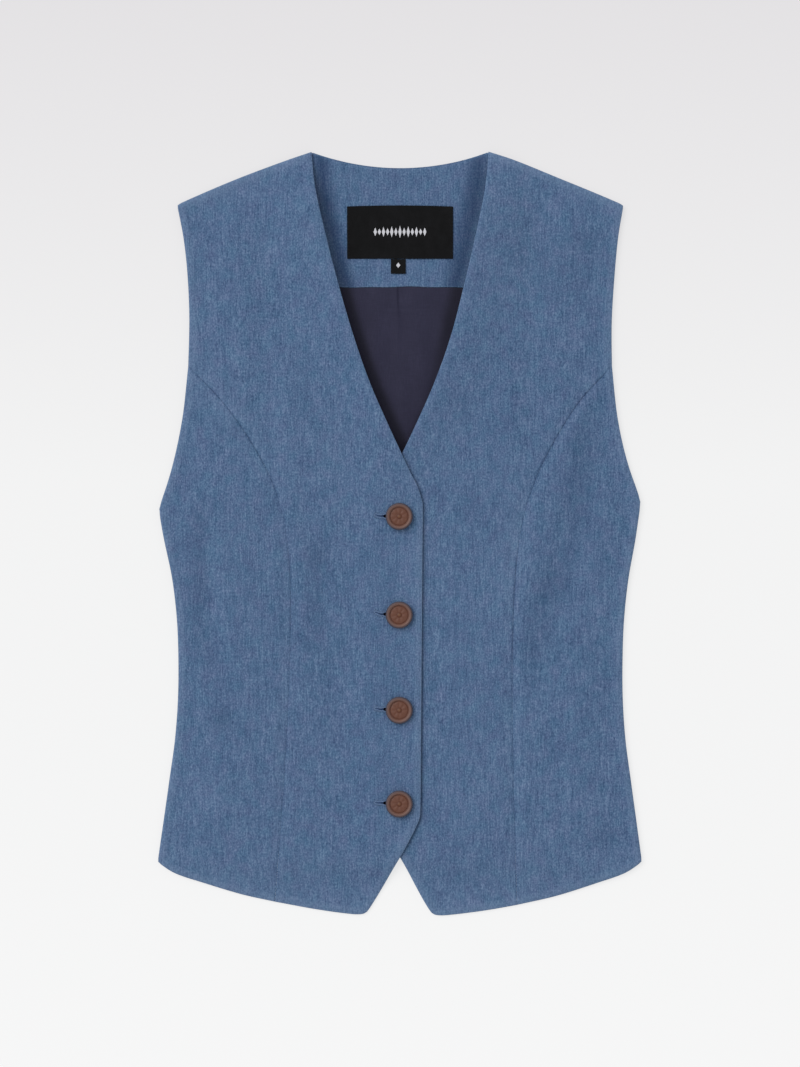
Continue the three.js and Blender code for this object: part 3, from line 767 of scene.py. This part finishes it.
# Label, size tab and their thread
labelTape = {"width": 84.8, "depth": 42.7, "topUp": 567.8, "arch": 0.9, "wall": 0.6}
sizeTape = {"x": -1.4, "width": 11.9, "depth": 11.7, "wall": 0.6}
facingTop = skinFloor + cloth["facingWall"]


def heightOn(surface, x, upAt):
    return float(surface(np.array([float(x)]), np.array([float(upAt)]))[0])


def labelSurface(x, upAt):
    t = labelTape
    middle = t["topUp"] - t["depth"] / 2
    out = np.abs(x) / (t["width"] / 2)
    height = facingTop + cloth["seamGap"] + t["wall"] + 0.16 * unevenness(x * 1.1 + 20, upAt * 1.2)
    height = height + 0.22 * (1 - out ** 2) * (1 - ((upAt - middle) / t["depth"] * 1.6) ** 2)
    return np.maximum(height, facingTop + cloth["seamGap"] + t["wall"] - 0.1) + 0.1 * (out > 0.955)


def makeLabel():
    t = labelTape

    def place(u, v):
        x = (u - 0.5) * t["width"]
        upAt = t["topUp"] - t["depth"] * (1 - v) - t["arch"] * v * (x / (t["width"] / 2)) ** 2
        return x, upAt, labelSurface(x, upAt)

    return clothShell("labelTape", 96, 48, place, t["wall"], 0.2)


def makeSizeTab():
    t = sizeTape
    tabTop = labelTape["topUp"] - labelTape["depth"] - 0.3

    def place(u, v):
        x = t["x"] + (u - 0.5) * t["width"]
        upAt = tabTop - t["depth"] * (1 - v)
        height = facingTop + cloth["seamGap"] + t["wall"] + 0.3 * (1 - v) ** 2 + 0.05 * np.sin(x)
        return x, upAt, height

    return clothShell("sizeTape", 18, 20, place, t["wall"], 0.25), tabTop


pieces["labelTape"] = makeLabel()
pieces["sizeTape"], tabTop = makeSizeTab()


def lozenge(bm, x, upAt, height, wide, tall, rise):
    made = bmesh.ops.create_circle(bm, cap_ends=True, cap_tris=False, radius=0.5, segments=4)
    spot = Vector((x, upAt - pattern["bodyLength"] / 2, height)) * mm
    shape = Matrix.Translation(spot) @ Matrix.Diagonal((wide * mm, tall * mm, 1, 1))
    bmesh.ops.transform(bm, matrix=shape, verts=made["verts"])
    face = made["verts"][0].link_faces[0]
    grown = bmesh.ops.extrude_face_region(bm, geom=[face])
    lifted = [item for item in grown["geom"] if isinstance(item, bmesh.types.BMVert)]
    bmesh.ops.translate(bm, verts=lifted, vec=(0, 0, rise * mm))
    rim = [edge for edge in bm.edges if all(vert in lifted for vert in edge.verts)]
    bmesh.ops.bevel(
        bm, geom=rim, offset=0.12 * mm, offset_type="OFFSET", segments=2, profile=0.5,
        affect="EDGES", material=-1,
    )


labelMark = {
    "count": 13, "pitch": 3.3, "tallest": 10, "shortest": 7, "wide": 2.7, "middleUp": 546.6,
    "rise": 0.28,
}
tabMark = {"wide": 3.4, "tall": 4.4, "rise": 0.25}


def makeMarks():
    m = labelMark
    bm = bmesh.new()
    reach = (m["count"] - 1) / 2
    for index in range(m["count"]):
        out = abs(index - reach) / reach
        tall = m["tallest"] + (m["shortest"] - m["tallest"]) * out
        if index % 2:
            tall = tall * 0.7
        x = (index - reach) * m["pitch"]
        height = heightOn(labelSurface, x, m["middleUp"]) - 0.04
        lozenge(bm, x, m["middleUp"], height, m["wide"], tall, m["rise"])
    tabUp = tabTop - sizeTape["depth"] * 0.42
    tabHeight = facingTop + cloth["seamGap"] + sizeTape["wall"] + 0.02
    lozenge(bm, sizeTape["x"], tabUp, tabHeight, tabMark["wide"], tabMark["tall"], tabMark["rise"])
    bmesh.ops.recalc_face_normals(bm, faces=bm.faces)
    return meshFrom(bm, "labelMarks", smooth=False)


pieces["labelMarks"] = makeMarks()


def stitch(bm, spot, along, length, thick, rise=0.8):
    # one short length of thread, as a stretched ball
    turn = Matrix.Rotation(along, 4, "Z")
    size = Matrix.Diagonal((length / 2 * mm, thick / 2 * mm, thick * rise / 2 * mm, 1))
    place = Matrix.Translation(Vector((spot[0], spot[1] - pattern["bodyLength"] / 2, spot[2])) * mm)
    bmesh.ops.create_icosphere(bm, subdivisions=1, radius=1, matrix=place @ turn @ size)


labelSewing = {
    "count": 15, "inset": 1.5, "footGap": 1.6, "unsewn": 4.1, "length": 2.1, "thick": 0.38,
}


def makeLabelStitches():
    t, s = labelTape, labelSewing
    bm = bmesh.new()
    for end in (-1, 1):
        x = end * (t["width"] / 2 - s["inset"])
        for index in range(s["count"]):
            along = index * (t["depth"] - s["unsewn"]) / (s["count"] - 1)
            upAt = t["topUp"] - t["depth"] + s["footGap"] + along
            height = heightOn(labelSurface, x, upAt) + 0.02
            stitch(bm, (x, upAt, height), math.radians(90), s["length"], s["thick"])
    return meshFrom(bm, "labelStitches")


pieces["labelStitches"] = makeLabelStitches()

# Buttons, done up through worked buttonholes
button = {
    "steps": 96, "petals": 8, "petalFrom": 2.3, "petalTo": 6.5, "petalRise": 0.3, "lastRing": 10.8,
}
buttonOutline = [
    (0, 3.3), (0.7, 3.28), (1.3, 3.12), (1.7, 2.86), (2.1, 2.8), (2.7, 2.8), (3.3, 2.8), (3.9, 2.8),
    (4.5, 2.8), (5.1, 2.8), (5.7, 2.8), (6.3, 2.8), (6.8, 2.72), (7.1, 2.55), (7.4, 2.6),
    (7.7, 3.1), (8.0, 3.62), (8.4, 3.98), (8.9, 4.16), (9.4, 4.2), (9.9, 4.1), (10.35, 3.82),
    (10.68, 3.4), (10.8, 2.9), (10.7, 2.4), (10.3, 1.9), (9.6, 1.5), (8.6, 1.28), (6.5, 1.2),
    (3.4, 1.18), (3.2, 0.95), (3.2, 0.05), (0, 0.05),
]
buttonNodes = ["button_1", "button_2", "button_3", "button_4"]


def makeButton(index, node):
    b = button
    low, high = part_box(node)
    foot = Vector(((low.x + high.x) / 2, (low.y + high.y) / 2, low.z))
    bm = bmesh.new()
    ring = [bm.verts.new((radius * mm, 0, height * mm)) for radius, height in buttonOutline]
    edges = [bm.edges.new(pair) for pair in zip(ring, ring[1:])]
    bmesh.ops.spin(
        bm, geom=ring + edges, cent=(0, 0, 0), axis=(0, 0, 1), dvec=(0, 0, 0),
        angle=2 * math.pi, steps=b["steps"], use_merge=True,
    )
    bmesh.ops.remove_doubles(bm, verts=bm.verts, dist=1e-6)
    bmesh.ops.recalc_face_normals(bm, faces=bm.faces)
    lean = math.radians(11 * index)
    for vert in bm.verts:
        radius = math.hypot(vert.co.x, vert.co.y) / mm
        onFace = b["petalFrom"] < radius < b["petalTo"] and vert.co.z / mm > 2.6
        if onFace:
            share = (radius - b["petalFrom"]) / (b["petalTo"] - b["petalFrom"])
            turn = math.atan2(vert.co.y, vert.co.x) + lean
            petal = abs(math.cos(turn * b["petals"] / 2)) ** (0.5 + 1.6 * share)
            vert.co.z += b["petalRise"] * mm * petal * math.sin(math.pi * share) ** 0.7
    mesh = meshFrom(bm, "vestButton" + str(index + 1))
    rings = mesh.data.attributes.new("ring", "FLOAT", "POINT")
    radii = [math.hypot(v.co.x, v.co.y) / mm / b["lastRing"] for v in mesh.data.vertices]
    rings.data.foreach_set("value", radii)
    mesh.data.transform(Matrix.Translation(foot))
    return mesh


buttonUps = []
for index, node in enumerate(buttonNodes):
    pieces["vestButton" + str(index + 1)] = makeButton(index, node)
    low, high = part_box(node)
    buttonUps.append((low.y + high.y) / 2 / mm + pattern["bodyLength"] / 2)

buttonhole = {
    "leftX": -19.2, "rightX": 1.5, "slit": 0.68, "gapeX": -14, "gapeReach": 2.4, "gape": 0.7,
    "curlReach": 4.5, "threadLength": 1.9, "thread": 0.42, "threadRise": 0.08, "spacing": 0.96,
    "purl": 0.66, "purlRise": 0.2, "purlOut": 0.4, "purlLength": 1.2, "endStitches": 11,
    "openingRise": 0.07, "openingMargin": 0.1, "openingLeft": 0.2,
}
# How far each one lies above the middle of its button, and how far its end curls up
buttonholeLies = [(0.3, 0.9), (0.56, 1.5), (0.6, 0.7), (0.6, 0.3)]


def slitHalf(x):
    h = buttonhole
    return h["slit"] + h["gape"] * float(ease(x - h["gapeX"], h["gapeReach"]))


def slitMiddle(number, x):
    above, curl = buttonholeLies[number]
    curled = curl * (1 - float(ease(x - buttonhole["leftX"], buttonhole["curlReach"]))) ** 2
    return buttonUps[number] + above + curled


def surfaceAt(x, upAt):
    return heightOn(lambda xs, ups: frontTop(xs, ups, upperFront), x, upAt)


def sew(bm, x, upAt, rise, along, length, thick):
    stitch(bm, (x, upAt, surfaceAt(x, upAt) + rise), along, length, thick, 0.9)


def makeButtonholes():
    h = buttonhole
    threads = bmesh.new()
    knots = bmesh.new()
    quarter = math.radians(90)
    count = int((h["rightX"] - h["leftX"]) / (h["thread"] * h["spacing"]))
    for number in range(len(buttonUps)):
        for edge in (-1, 1):
            for index in range(count):
                x = h["leftX"] + index * h["thread"] * h["spacing"]
                wobble = 0.1 * math.sin(index * 2.3 + number + edge)
                length = h["threadLength"] * (1 + 0.08 * math.sin(index * 1.7 + number))
                lip = slitMiddle(number, x) + edge * slitHalf(x)
                upAt = lip + edge * length / 2
                sew(threads, x, upAt, h["threadRise"], quarter + wobble, length, h["thread"])
                upAt = lip + edge * h["purl"] * h["purlOut"]
                sew(knots, x, upAt, h["purlRise"], wobble * 2, h["purl"] * h["purlLength"], h["purl"])
        endUp = slitMiddle(number, h["leftX"])
        threadReach = h["slit"] + h["threadLength"] / 2
        knotReach = h["slit"] + h["purl"] * h["purlOut"]
        for index in range(h["endStitches"]):
            turn = math.radians(90 + 180 * (index + 0.5) / h["endStitches"])
            for bm, reach, rise, length, thick in (
                (threads, threadReach, h["threadRise"], h["threadLength"], h["thread"]),
                (knots, knotReach, h["purlRise"], h["purl"], h["purl"]),
            ):
                x = h["leftX"] + reach * math.cos(turn)
                sew(bm, x, endUp + reach * math.sin(turn), rise, turn, length, thick)
    worked = meshFrom(threads, "buttonholeThreads")
    pieces["buttonholePurls"] = meshFrom(knots, "buttonholePurls")
    # a sheet in each slit, painted with the shade seen through it
    slits = bmesh.new()
    for number in range(len(buttonUps)):
        made = bmesh.ops.create_grid(slits, x_segments=36, y_segments=2, size=0.5)
        for vert in made["verts"]:
            x = h["leftX"] - h["openingLeft"] + (vert.co.x + 0.5) * (h["rightX"] - h["leftX"])
            upAt = slitMiddle(number, x) + vert.co.y * 2 * (slitHalf(x) + h["openingMargin"])
            height = surfaceAt(x, upAt) + h["openingRise"]
            vert.co = Vector((x, upAt - pattern["bodyLength"] / 2, height)) * mm
    opening = meshFrom(slits, "buttonholeShadeSheets")
    return worked, opening


pieces["buttonholeThreads"], pieces["buttonholeShadeSheets"] = makeButtonholes()
print("buttons and buttonholes made")


# Materials
def material(name):
    made = bpy.data.materials.new(name)
    made.use_nodes = True
    tree = made.node_tree
    return made, tree, tree.nodes["Principled BSDF"]


def sized(tree, size, turn=0.0):
    # object coordinates in which one unit is size millimetres along each axis
    coords = tree.nodes.new("ShaderNodeTexCoord")
    mapping = tree.nodes.new("ShaderNodeMapping")
    mapping.vector_type = "TEXTURE"
    mapping.inputs["Scale"].default_value = [length * mm for length in size]
    mapping.inputs["Rotation"].default_value = (0, 0, turn)
    tree.links.new(coords.outputs["Object"], mapping.inputs["Vector"])
    return mapping.outputs["Vector"]


def noiseOf(tree, size, detail=2.0, roughness=0.5, turn=0.0, warp=0.0):
    noise = tree.nodes.new("ShaderNodeTexNoise")
    noise.inputs["Scale"].default_value = 1
    noise.inputs["Detail"].default_value = detail
    noise.inputs["Roughness"].default_value = roughness
    noise.inputs["Distortion"].default_value = warp
    tree.links.new(sized(tree, size, turn), noise.inputs["Vector"])
    return noise.outputs["Fac"]


def bandsOf(tree, spacing, turn, warp=0.0):
    # even ridges spacing millimetres apart, square to the direction turn
    wave = tree.nodes.new("ShaderNodeTexWave")
    wave.wave_type = "BANDS"
    wave.bands_direction = "X"
    wave.inputs["Scale"].default_value = math.pi / 10
    wave.inputs["Distortion"].default_value = warp
    wave.inputs["Detail Scale"].default_value = 1.5
    tree.links.new(sized(tree, (spacing, spacing, spacing), turn), wave.inputs["Vector"])
    return wave.outputs["Fac"]


def calc(tree, operation, first, second=None, clamp=False):
    node = tree.nodes.new("ShaderNodeMath")
    node.operation = operation
    node.use_clamp = clamp
    for socket, value in zip(node.inputs, (first, second)):
        if isinstance(value, bpy.types.NodeSocket):
            tree.links.new(value, socket)
        elif value is not None:
            socket.default_value = value
    return node.outputs["Value"]


def blended(tree, parts):
    # sum of (value, weight) pairs about zero
    total = None
    for value, weight in parts:
        term = calc(tree, "MULTIPLY", calc(tree, "SUBTRACT", value, 0.5), weight)
        total = term if total is None else calc(tree, "ADD", total, term)
    return total


def toneOf(tree, parts):
    # the same as a share from 0 to 1
    return calc(tree, "ADD", blended(tree, parts), 0.5, clamp=True)


def alongAxis(tree, axis, gain, start):
    # a share from 0 to 1 that grows along one axis
    coords = tree.nodes.new("ShaderNodeTexCoord")
    apart = tree.nodes.new("ShaderNodeSeparateXYZ")
    tree.links.new(coords.outputs["Object"], apart.inputs["Vector"])
    return calc(tree, "ADD", calc(tree, "MULTIPLY", apart.outputs[axis], gain), start, clamp=True)


def covered(tree, shader, color, roughness, gloss):
    tree.links.new(color, shader.inputs["Base Color"])
    shader.inputs["Roughness"].default_value = roughness
    shader.inputs["Specular IOR Level"].default_value = gloss


def ramp(tree, value, stops):
    node = tree.nodes.new("ShaderNodeValToRGB")
    while len(node.color_ramp.elements) < len(stops):
        node.color_ramp.elements.new(0.5)
    for element, (position, color) in zip(node.color_ramp.elements, stops):
        element.position = position
        element.color = linear(color)
    tree.links.new(value, node.inputs["Fac"])
    return node.outputs["Color"]


def linear(color):
    # a colour given as the eye sees it, from 0 to 255, as the shader wants it
    parts = [part / 255 for part in color]
    return [p / 12.92 if p <= 0.04045 else ((p + 0.055) / 1.055) ** 2.4 for p in parts] + [1]


def mixed(tree, factor, first, second, blend="MIX"):
    node = tree.nodes.new("ShaderNodeMix")
    node.data_type = "RGBA"
    node.blend_type = blend
    for socket, value in ((node.inputs[0], factor), (node.inputs[6], first), (node.inputs[7], second)):
        if isinstance(value, bpy.types.NodeSocket):
            tree.links.new(value, socket)
        else:
            socket.default_value = value
    return node.outputs[2]


def bump(tree, shader, height, distance, strength):
    node = tree.nodes.new("ShaderNodeBump")
    node.inputs["Distance"].default_value = distance * mm
    node.inputs["Strength"].default_value = strength
    tree.links.new(height, node.inputs["Height"])
    tree.links.new(node.outputs["Normal"], shader.inputs["Normal"])


def attributeOf(tree, name):
    node = tree.nodes.new("ShaderNodeAttribute")
    node.attribute_name = name
    return node.outputs["Fac"]


# the lighter colour is for worn cloth and painted highlight; groove is for the darker dye at the seams
# and for painted shade
denim = {
    "coolDark": (45, 71, 102), "coolMid": (73, 101, 132), "coolLight": (105, 131, 159),
    "warmDark": (53, 69, 103), "warmMid": (81, 100, 133), "warmLight": (113, 129, 160),
    "fleck": (140, 156, 180), "wornAndPaintedLight": (112, 132, 160), "groove": (27, 44, 77),
    "twill": 0.62, "twillTurn": 28,
}


def denimMaterial():
    d = denim
    made, tree, shader = material("washedDenim")
    grain = noiseOf(tree, (1.05, 1.55, 1.5), 1, 0.5)
    warpYarn = noiseOf(tree, (0.85, 12, 13), 2, 0.5)
    fineYarn = noiseOf(tree, (0.38, 2.4, 3), 1, 0.5)
    weftYarn = noiseOf(tree, (4.5, 0.6, 5), 1, 0.5)
    cloud = noiseOf(tree, (11, 16, 17), 2, 0.55)
    wash = noiseOf(tree, (60, 85, 85), 2, 0.5)
    twill = bandsOf(tree, d["twill"], math.radians(d["twillTurn"]), 1.2)
    tone = toneOf(tree, [
        (grain, 1.2), (warpYarn, 0.9), (fineYarn, 0.5), (weftYarn, 0.3), (cloud, 0.3), (wash, 0.12),
        (twill, 0.1),
    ])
    cool = ramp(tree, tone, [(0.0, d["coolDark"]), (0.5, d["coolMid"]), (1.0, d["coolLight"])])
    warm = ramp(tree, tone, [(0.0, d["warmDark"]), (0.5, d["warmMid"]), (1.0, d["warmLight"])])
    hue = toneOf(tree, [(noiseOf(tree, (9, 10, 10), 2, 0.5), 2.2)])
    color = mixed(tree, hue, cool, warm)
    nep = noiseOf(tree, (0.9, 2.0, 3), 1, 0.4, warp=0.4)
    fleck = calc(tree, "MULTIPLY", calc(tree, "SUBTRACT", nep, 0.68), 7, clamp=True)
    color = mixed(tree, calc(tree, "MULTIPLY", fleck, 0.25), color, linear(d["fleck"]))
    wearAndPaintedLight = attributeOf(tree, "wearAndPaintedLight")
    rough = calc(tree, "ADD", 0.6, calc(tree, "MULTIPLY", grain, 0.8))
    # lighter where the cloth is worn and where highlight is painted
    lighter = calc(tree, "MULTIPLY", calc(tree, "MULTIPLY", wearAndPaintedLight, rough, clamp=True), 0.42)
    color = mixed(tree, lighter, color, linear(d["wornAndPaintedLight"]))
    # darker where the dye is deeper at the seams and where shade is painted
    darker = calc(tree, "MULTIPLY", wearAndPaintedLight, -0.62, clamp=True)
    color = mixed(tree, darker, color, linear(d["groove"]))
    covered(tree, shader, color, 0.95, 0.1)
    relief = blended(tree, [(twill, 0.5), (fineYarn, 0.8), (grain, 0.6), (weftYarn, 0.5)])
    bump(tree, shader, relief, 0.2, 0.5)
    return made


def liningMaterial():
    made, tree, shader = material("darkLining")
    yarn = noiseOf(tree, (0.3, 5, 5), 2, 0.5)
    cross = noiseOf(tree, (6, 0.3, 5), 2, 0.5)
    cloud = noiseOf(tree, (16, 24, 20), 2, 0.5)
    tone = toneOf(tree, [(yarn, 0.5), (cross, 0.4), (cloud, 0.35)])
    color = ramp(tree, tone, [(0.0, (29, 28, 44)), (0.5, (42, 41, 60)), (1.0, (56, 54, 75))])
    # painted shade beside the standing neck edges and painted shadow along the pleat
    darker = calc(tree, "MULTIPLY", attributeOf(tree, "wearAndPaintedLight"), -1.0, clamp=True)
    color = mixed(tree, darker, color, linear((10, 10, 18)))
    covered(tree, shader, color, 0.6, 0.12)
    bump(tree, shader, blended(tree, [(yarn, 0.7), (cross, 0.7)]), 0.08, 0.4)
    return made


def labelMaterial():
    made, tree, shader = material("wovenLabel")
    ribs = bandsOf(tree, 0.42, 0, 0.3)
    picks = bandsOf(tree, 0.34, math.radians(90), 0.2)
    dust = noiseOf(tree, (7, 9, 9), 3, 0.6)
    tone = toneOf(tree, [(ribs, 0.4), (picks, 0.3), (dust, 0.8)])
    color = ramp(tree, tone, [(0.0, (12, 12, 13)), (0.5, (17, 17, 18)), (1.0, (28, 28, 30))])
    covered(tree, shader, color, 0.8, 0.08)
    bump(tree, shader, blended(tree, [(ribs, 0.8), (picks, 0.8)]), 0.1, 0.4)
    return made


def threadMaterial(name, dark, light):
    made, tree, shader = material(name)
    strand = noiseOf(tree, (0.5, 0.25, 0.5), 2, 0.6)
    color = ramp(tree, strand, [(0.3, dark), (0.7, light)])
    covered(tree, shader, color, 0.7, 0.2)
    bump(tree, shader, bandsOf(tree, 0.36, math.radians(90), 0.2), 0.08, 0.6)
    return made


buttonholeShadeFinish = {
    # painted shade seen through the slit, from its closed end to the button, black in the gap under the
    # button
    "shade": [(0.05, (84, 108, 144)), (0.3, (62, 84, 122)), (0.6, (46, 66, 102)), (0.74, (12, 12, 20))],
    "strands": [(0.35, (150, 150, 150)), (0.65, (255, 255, 255))],
}


def buttonholeShadeMaterial():
    made, tree, shader = material("buttonholeShade")
    color = ramp(tree, alongAxis(tree, "X", 100, 2), buttonholeShadeFinish["shade"])
    strands = ramp(tree, noiseOf(tree, (1.4, 0.5, 1), 2, 0.5), buttonholeShadeFinish["strands"])
    color = mixed(tree, 1, color, strands, "MULTIPLY")
    covered(tree, shader, color, 1, 0)
    return made


# side is painted shade on the outer side of the rim
buttonFinish = {
    "rim": (107, 79, 70), "side": (70, 60, 66), "groove": (78, 38, 22), "face": (96, 60, 46),
    "heart": (110, 76, 54),
}


def buttonMaterial():
    f = buttonFinish
    made, tree, shader = material("mouldedButton")
    ring = attributeOf(tree, "ring")
    # the rim darkens to painted shade on its outer side
    color = ramp(tree, ring, [
        (0.0, f["heart"]), (0.17, f["groove"]), (0.24, f["face"]), (0.6, f["face"]), (0.665, f["groove"]),
        (0.72, f["rim"]), (0.8, f["rim"]), (0.93, f["side"]),
    ])
    grain = noiseOf(tree, (1.6, 1.1, 1.2), 4, 0.62, warp=0.8)
    speck = noiseOf(tree, (0.4, 0.4, 0.4), 2, 0.5)
    shade = toneOf(tree, [(grain, 0.75), (speck, 0.3)])
    mottle = ramp(tree, shade, [(0.15, (200, 190, 186)), (0.5, (255, 255, 255)), (0.85, (255, 250, 240))])
    color = mixed(tree, 0.8, color, mottle, "MULTIPLY")
    covered(tree, shader, color, 0.5, 0.3)
    bump(tree, shader, blended(tree, [(grain, 0.6), (speck, 0.5)]), 0.1, 0.35)
    return made


denimCloth = denimMaterial()
liningCloth = liningMaterial()
labelCloth = labelMaterial()
paleThread = threadMaterial("paleThread", (176, 176, 182), (212, 212, 217))
blackThread = threadMaterial("blackThread", (14, 14, 15), (32, 32, 34))
blueThread = threadMaterial("blueThread", (70, 94, 128), (104, 126, 158))
purlThread = threadMaterial("purlThread", (88, 112, 148), (118, 140, 174))
buttonCase = buttonMaterial()
shade = buttonholeShadeMaterial()

# What each piece stands for, wears and was cut to
dressing = [
    ("backPanel", "back", "denim", denimCloth),
    ("neckFacing", "back_neck_facing", "denim", denimCloth),
    ("liningPanel", "back_lining", "lining", liningCloth),
    ("frontPanelRight", "front_right", "denim", denimCloth),
    ("frontPanelLeft", "front_left", "denim", denimCloth),
    ("sidePanelRight", "side_front_right", "denim", denimCloth),
    ("sidePanelLeft", "side_front_left", "denim", denimCloth),
    ("labelTape", "label", "label", labelCloth),
    ("sizeTape", "size_tab", "label", labelCloth),
    ("labelMarks", None, "label", paleThread),
    ("labelStitches", None, "label", blackThread),
    ("buttonholeThreads", None, "denim", blueThread),
    ("buttonholePurls", None, "denim", purlThread),
    ("buttonholeShadeSheets", None, "denim", shade),
]
for index, node in enumerate(buttonNodes):
    dressing.append(("vestButton" + str(index + 1), node, "button", buttonCase))
for name, node, slot, cover in dressing:
    piece = pieces[name]
    piece.data.materials.append(cover)
    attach(piece, "root")
    if node:
        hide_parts(node)


# Floor, light and camera
setting = {
    "floorSize": 40.0, "floorDrop": 0.0002, "floorGlow": 3.5,
    "floorTop": (114, 113, 114), "floorMid": (122, 122, 122), "floorFoot": (124, 124, 124),
    "worldColor": (0.97, 0.985, 1.0), "worldStrength": 0.68,
    "keyTilt": 42, "keyFrom": (-0.803, 0.595), "keyAway": 24.0, "keySize": 20.0, "keyPower": 3730,
    "keyColor": (1.0, 0.995, 0.985),
    "lens": 100, "sensor": 36, "pixel": 0.8, "imageHeight": 1067, "focusHeight": 5,
}


def makeFloor():
    s = setting
    bm = bmesh.new()
    bmesh.ops.create_grid(bm, x_segments=4, y_segments=4, size=s["floorSize"] / 2)
    floor = meshFrom(bm, "paleTable", smooth=False)
    floor.data.transform(Matrix.Translation((0, 0, -s["floorDrop"])))
    made, tree, shader = material("paleSurface")
    # painted shade: the floor darkens towards +y; its glow pales the shadows on it
    share = alongAxis(tree, "Y", 1.17, 0.5)
    color = ramp(tree, share, [(0.0, s["floorFoot"]), (0.55, s["floorMid"]), (1.0, s["floorTop"])])
    covered(tree, shader, color, 0.9, 0.1)
    tree.links.new(color, shader.inputs["Emission Color"])
    shader.inputs["Emission Strength"].default_value = s["floorGlow"]
    floor.data.materials.append(made)


makeFloor()

world = bpy.data.worlds.new("studio")
bpy.context.scene.world = world
world.use_nodes = True
backdrop = world.node_tree.nodes["Background"]
backdrop.inputs["Color"].default_value = (*setting["worldColor"], 1)
backdrop.inputs["Strength"].default_value = setting["worldStrength"]
key = bpy.data.lights.new("softKey", "AREA")
key.shape = "DISK"
key.size = setting["keySize"]
key.energy = setting["keyPower"]
key.color = setting["keyColor"]
keyLamp = bpy.data.objects.new("softKey", key)
keyTilt = math.radians(setting["keyTilt"])
keyLamp.location = (
    setting["keyFrom"][0] * math.sin(keyTilt) * setting["keyAway"],
    setting["keyFrom"][1] * math.sin(keyTilt) * setting["keyAway"],
    math.cos(keyTilt) * setting["keyAway"],
)
keyLamp.rotation_euler = (-keyLamp.location).to_track_quat("-Z", "Y").to_euler()
bpy.context.scene.collection.objects.link(keyLamp)

lens = bpy.data.cameras.new("overhead")
lens.lens = setting["lens"]
lens.sensor_width = setting["sensor"]
viewHeight = setting["imageHeight"] * setting["pixel"] * mm
camera = bpy.data.objects.new("overhead", lens)
camera.location = (0, 0, viewHeight * setting["lens"] / lens.sensor_width + setting["focusHeight"] * mm)
lens.clip_end = 50
bpy.context.scene.collection.objects.link(camera)
bpy.context.scene.camera = camera
bpy.context.scene.view_settings.view_transform = "Standard"
print("floor, light and camera set")

backEdge = joined(lineThrough(armhole, 40), lineThrough(sideSeam, 40))
buttonholeWork = ["buttonholeThreads", "buttonholePurls", "buttonholeShadeSheets"]
for front, workedPieces in ((upperFront, buttonholeWork), (lowerFront, [])):
    foot, head, inner, outer = frontOutline(front)
    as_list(workedPieces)
    foot, head, inner, outer = sideOutline(front)
backHalf = np.linspace(0, pattern["shoulderHalf"], 40)
backHead = np.column_stack([backHalf, backTop(backHalf)])
facingEdge = skinEdge(pattern["facingFoot"], neckFacing["cornerUp"], 20)
facingHalf = np.linspace(facingEdge[-1, 0], 0, 40)
facingHead = np.column_stack([facingHalf, backTop(facingHalf) - neckFacing["topInset"]])
liningEdge = skinEdge(pattern["liningFoot"], pattern["facingFoot"], 40)
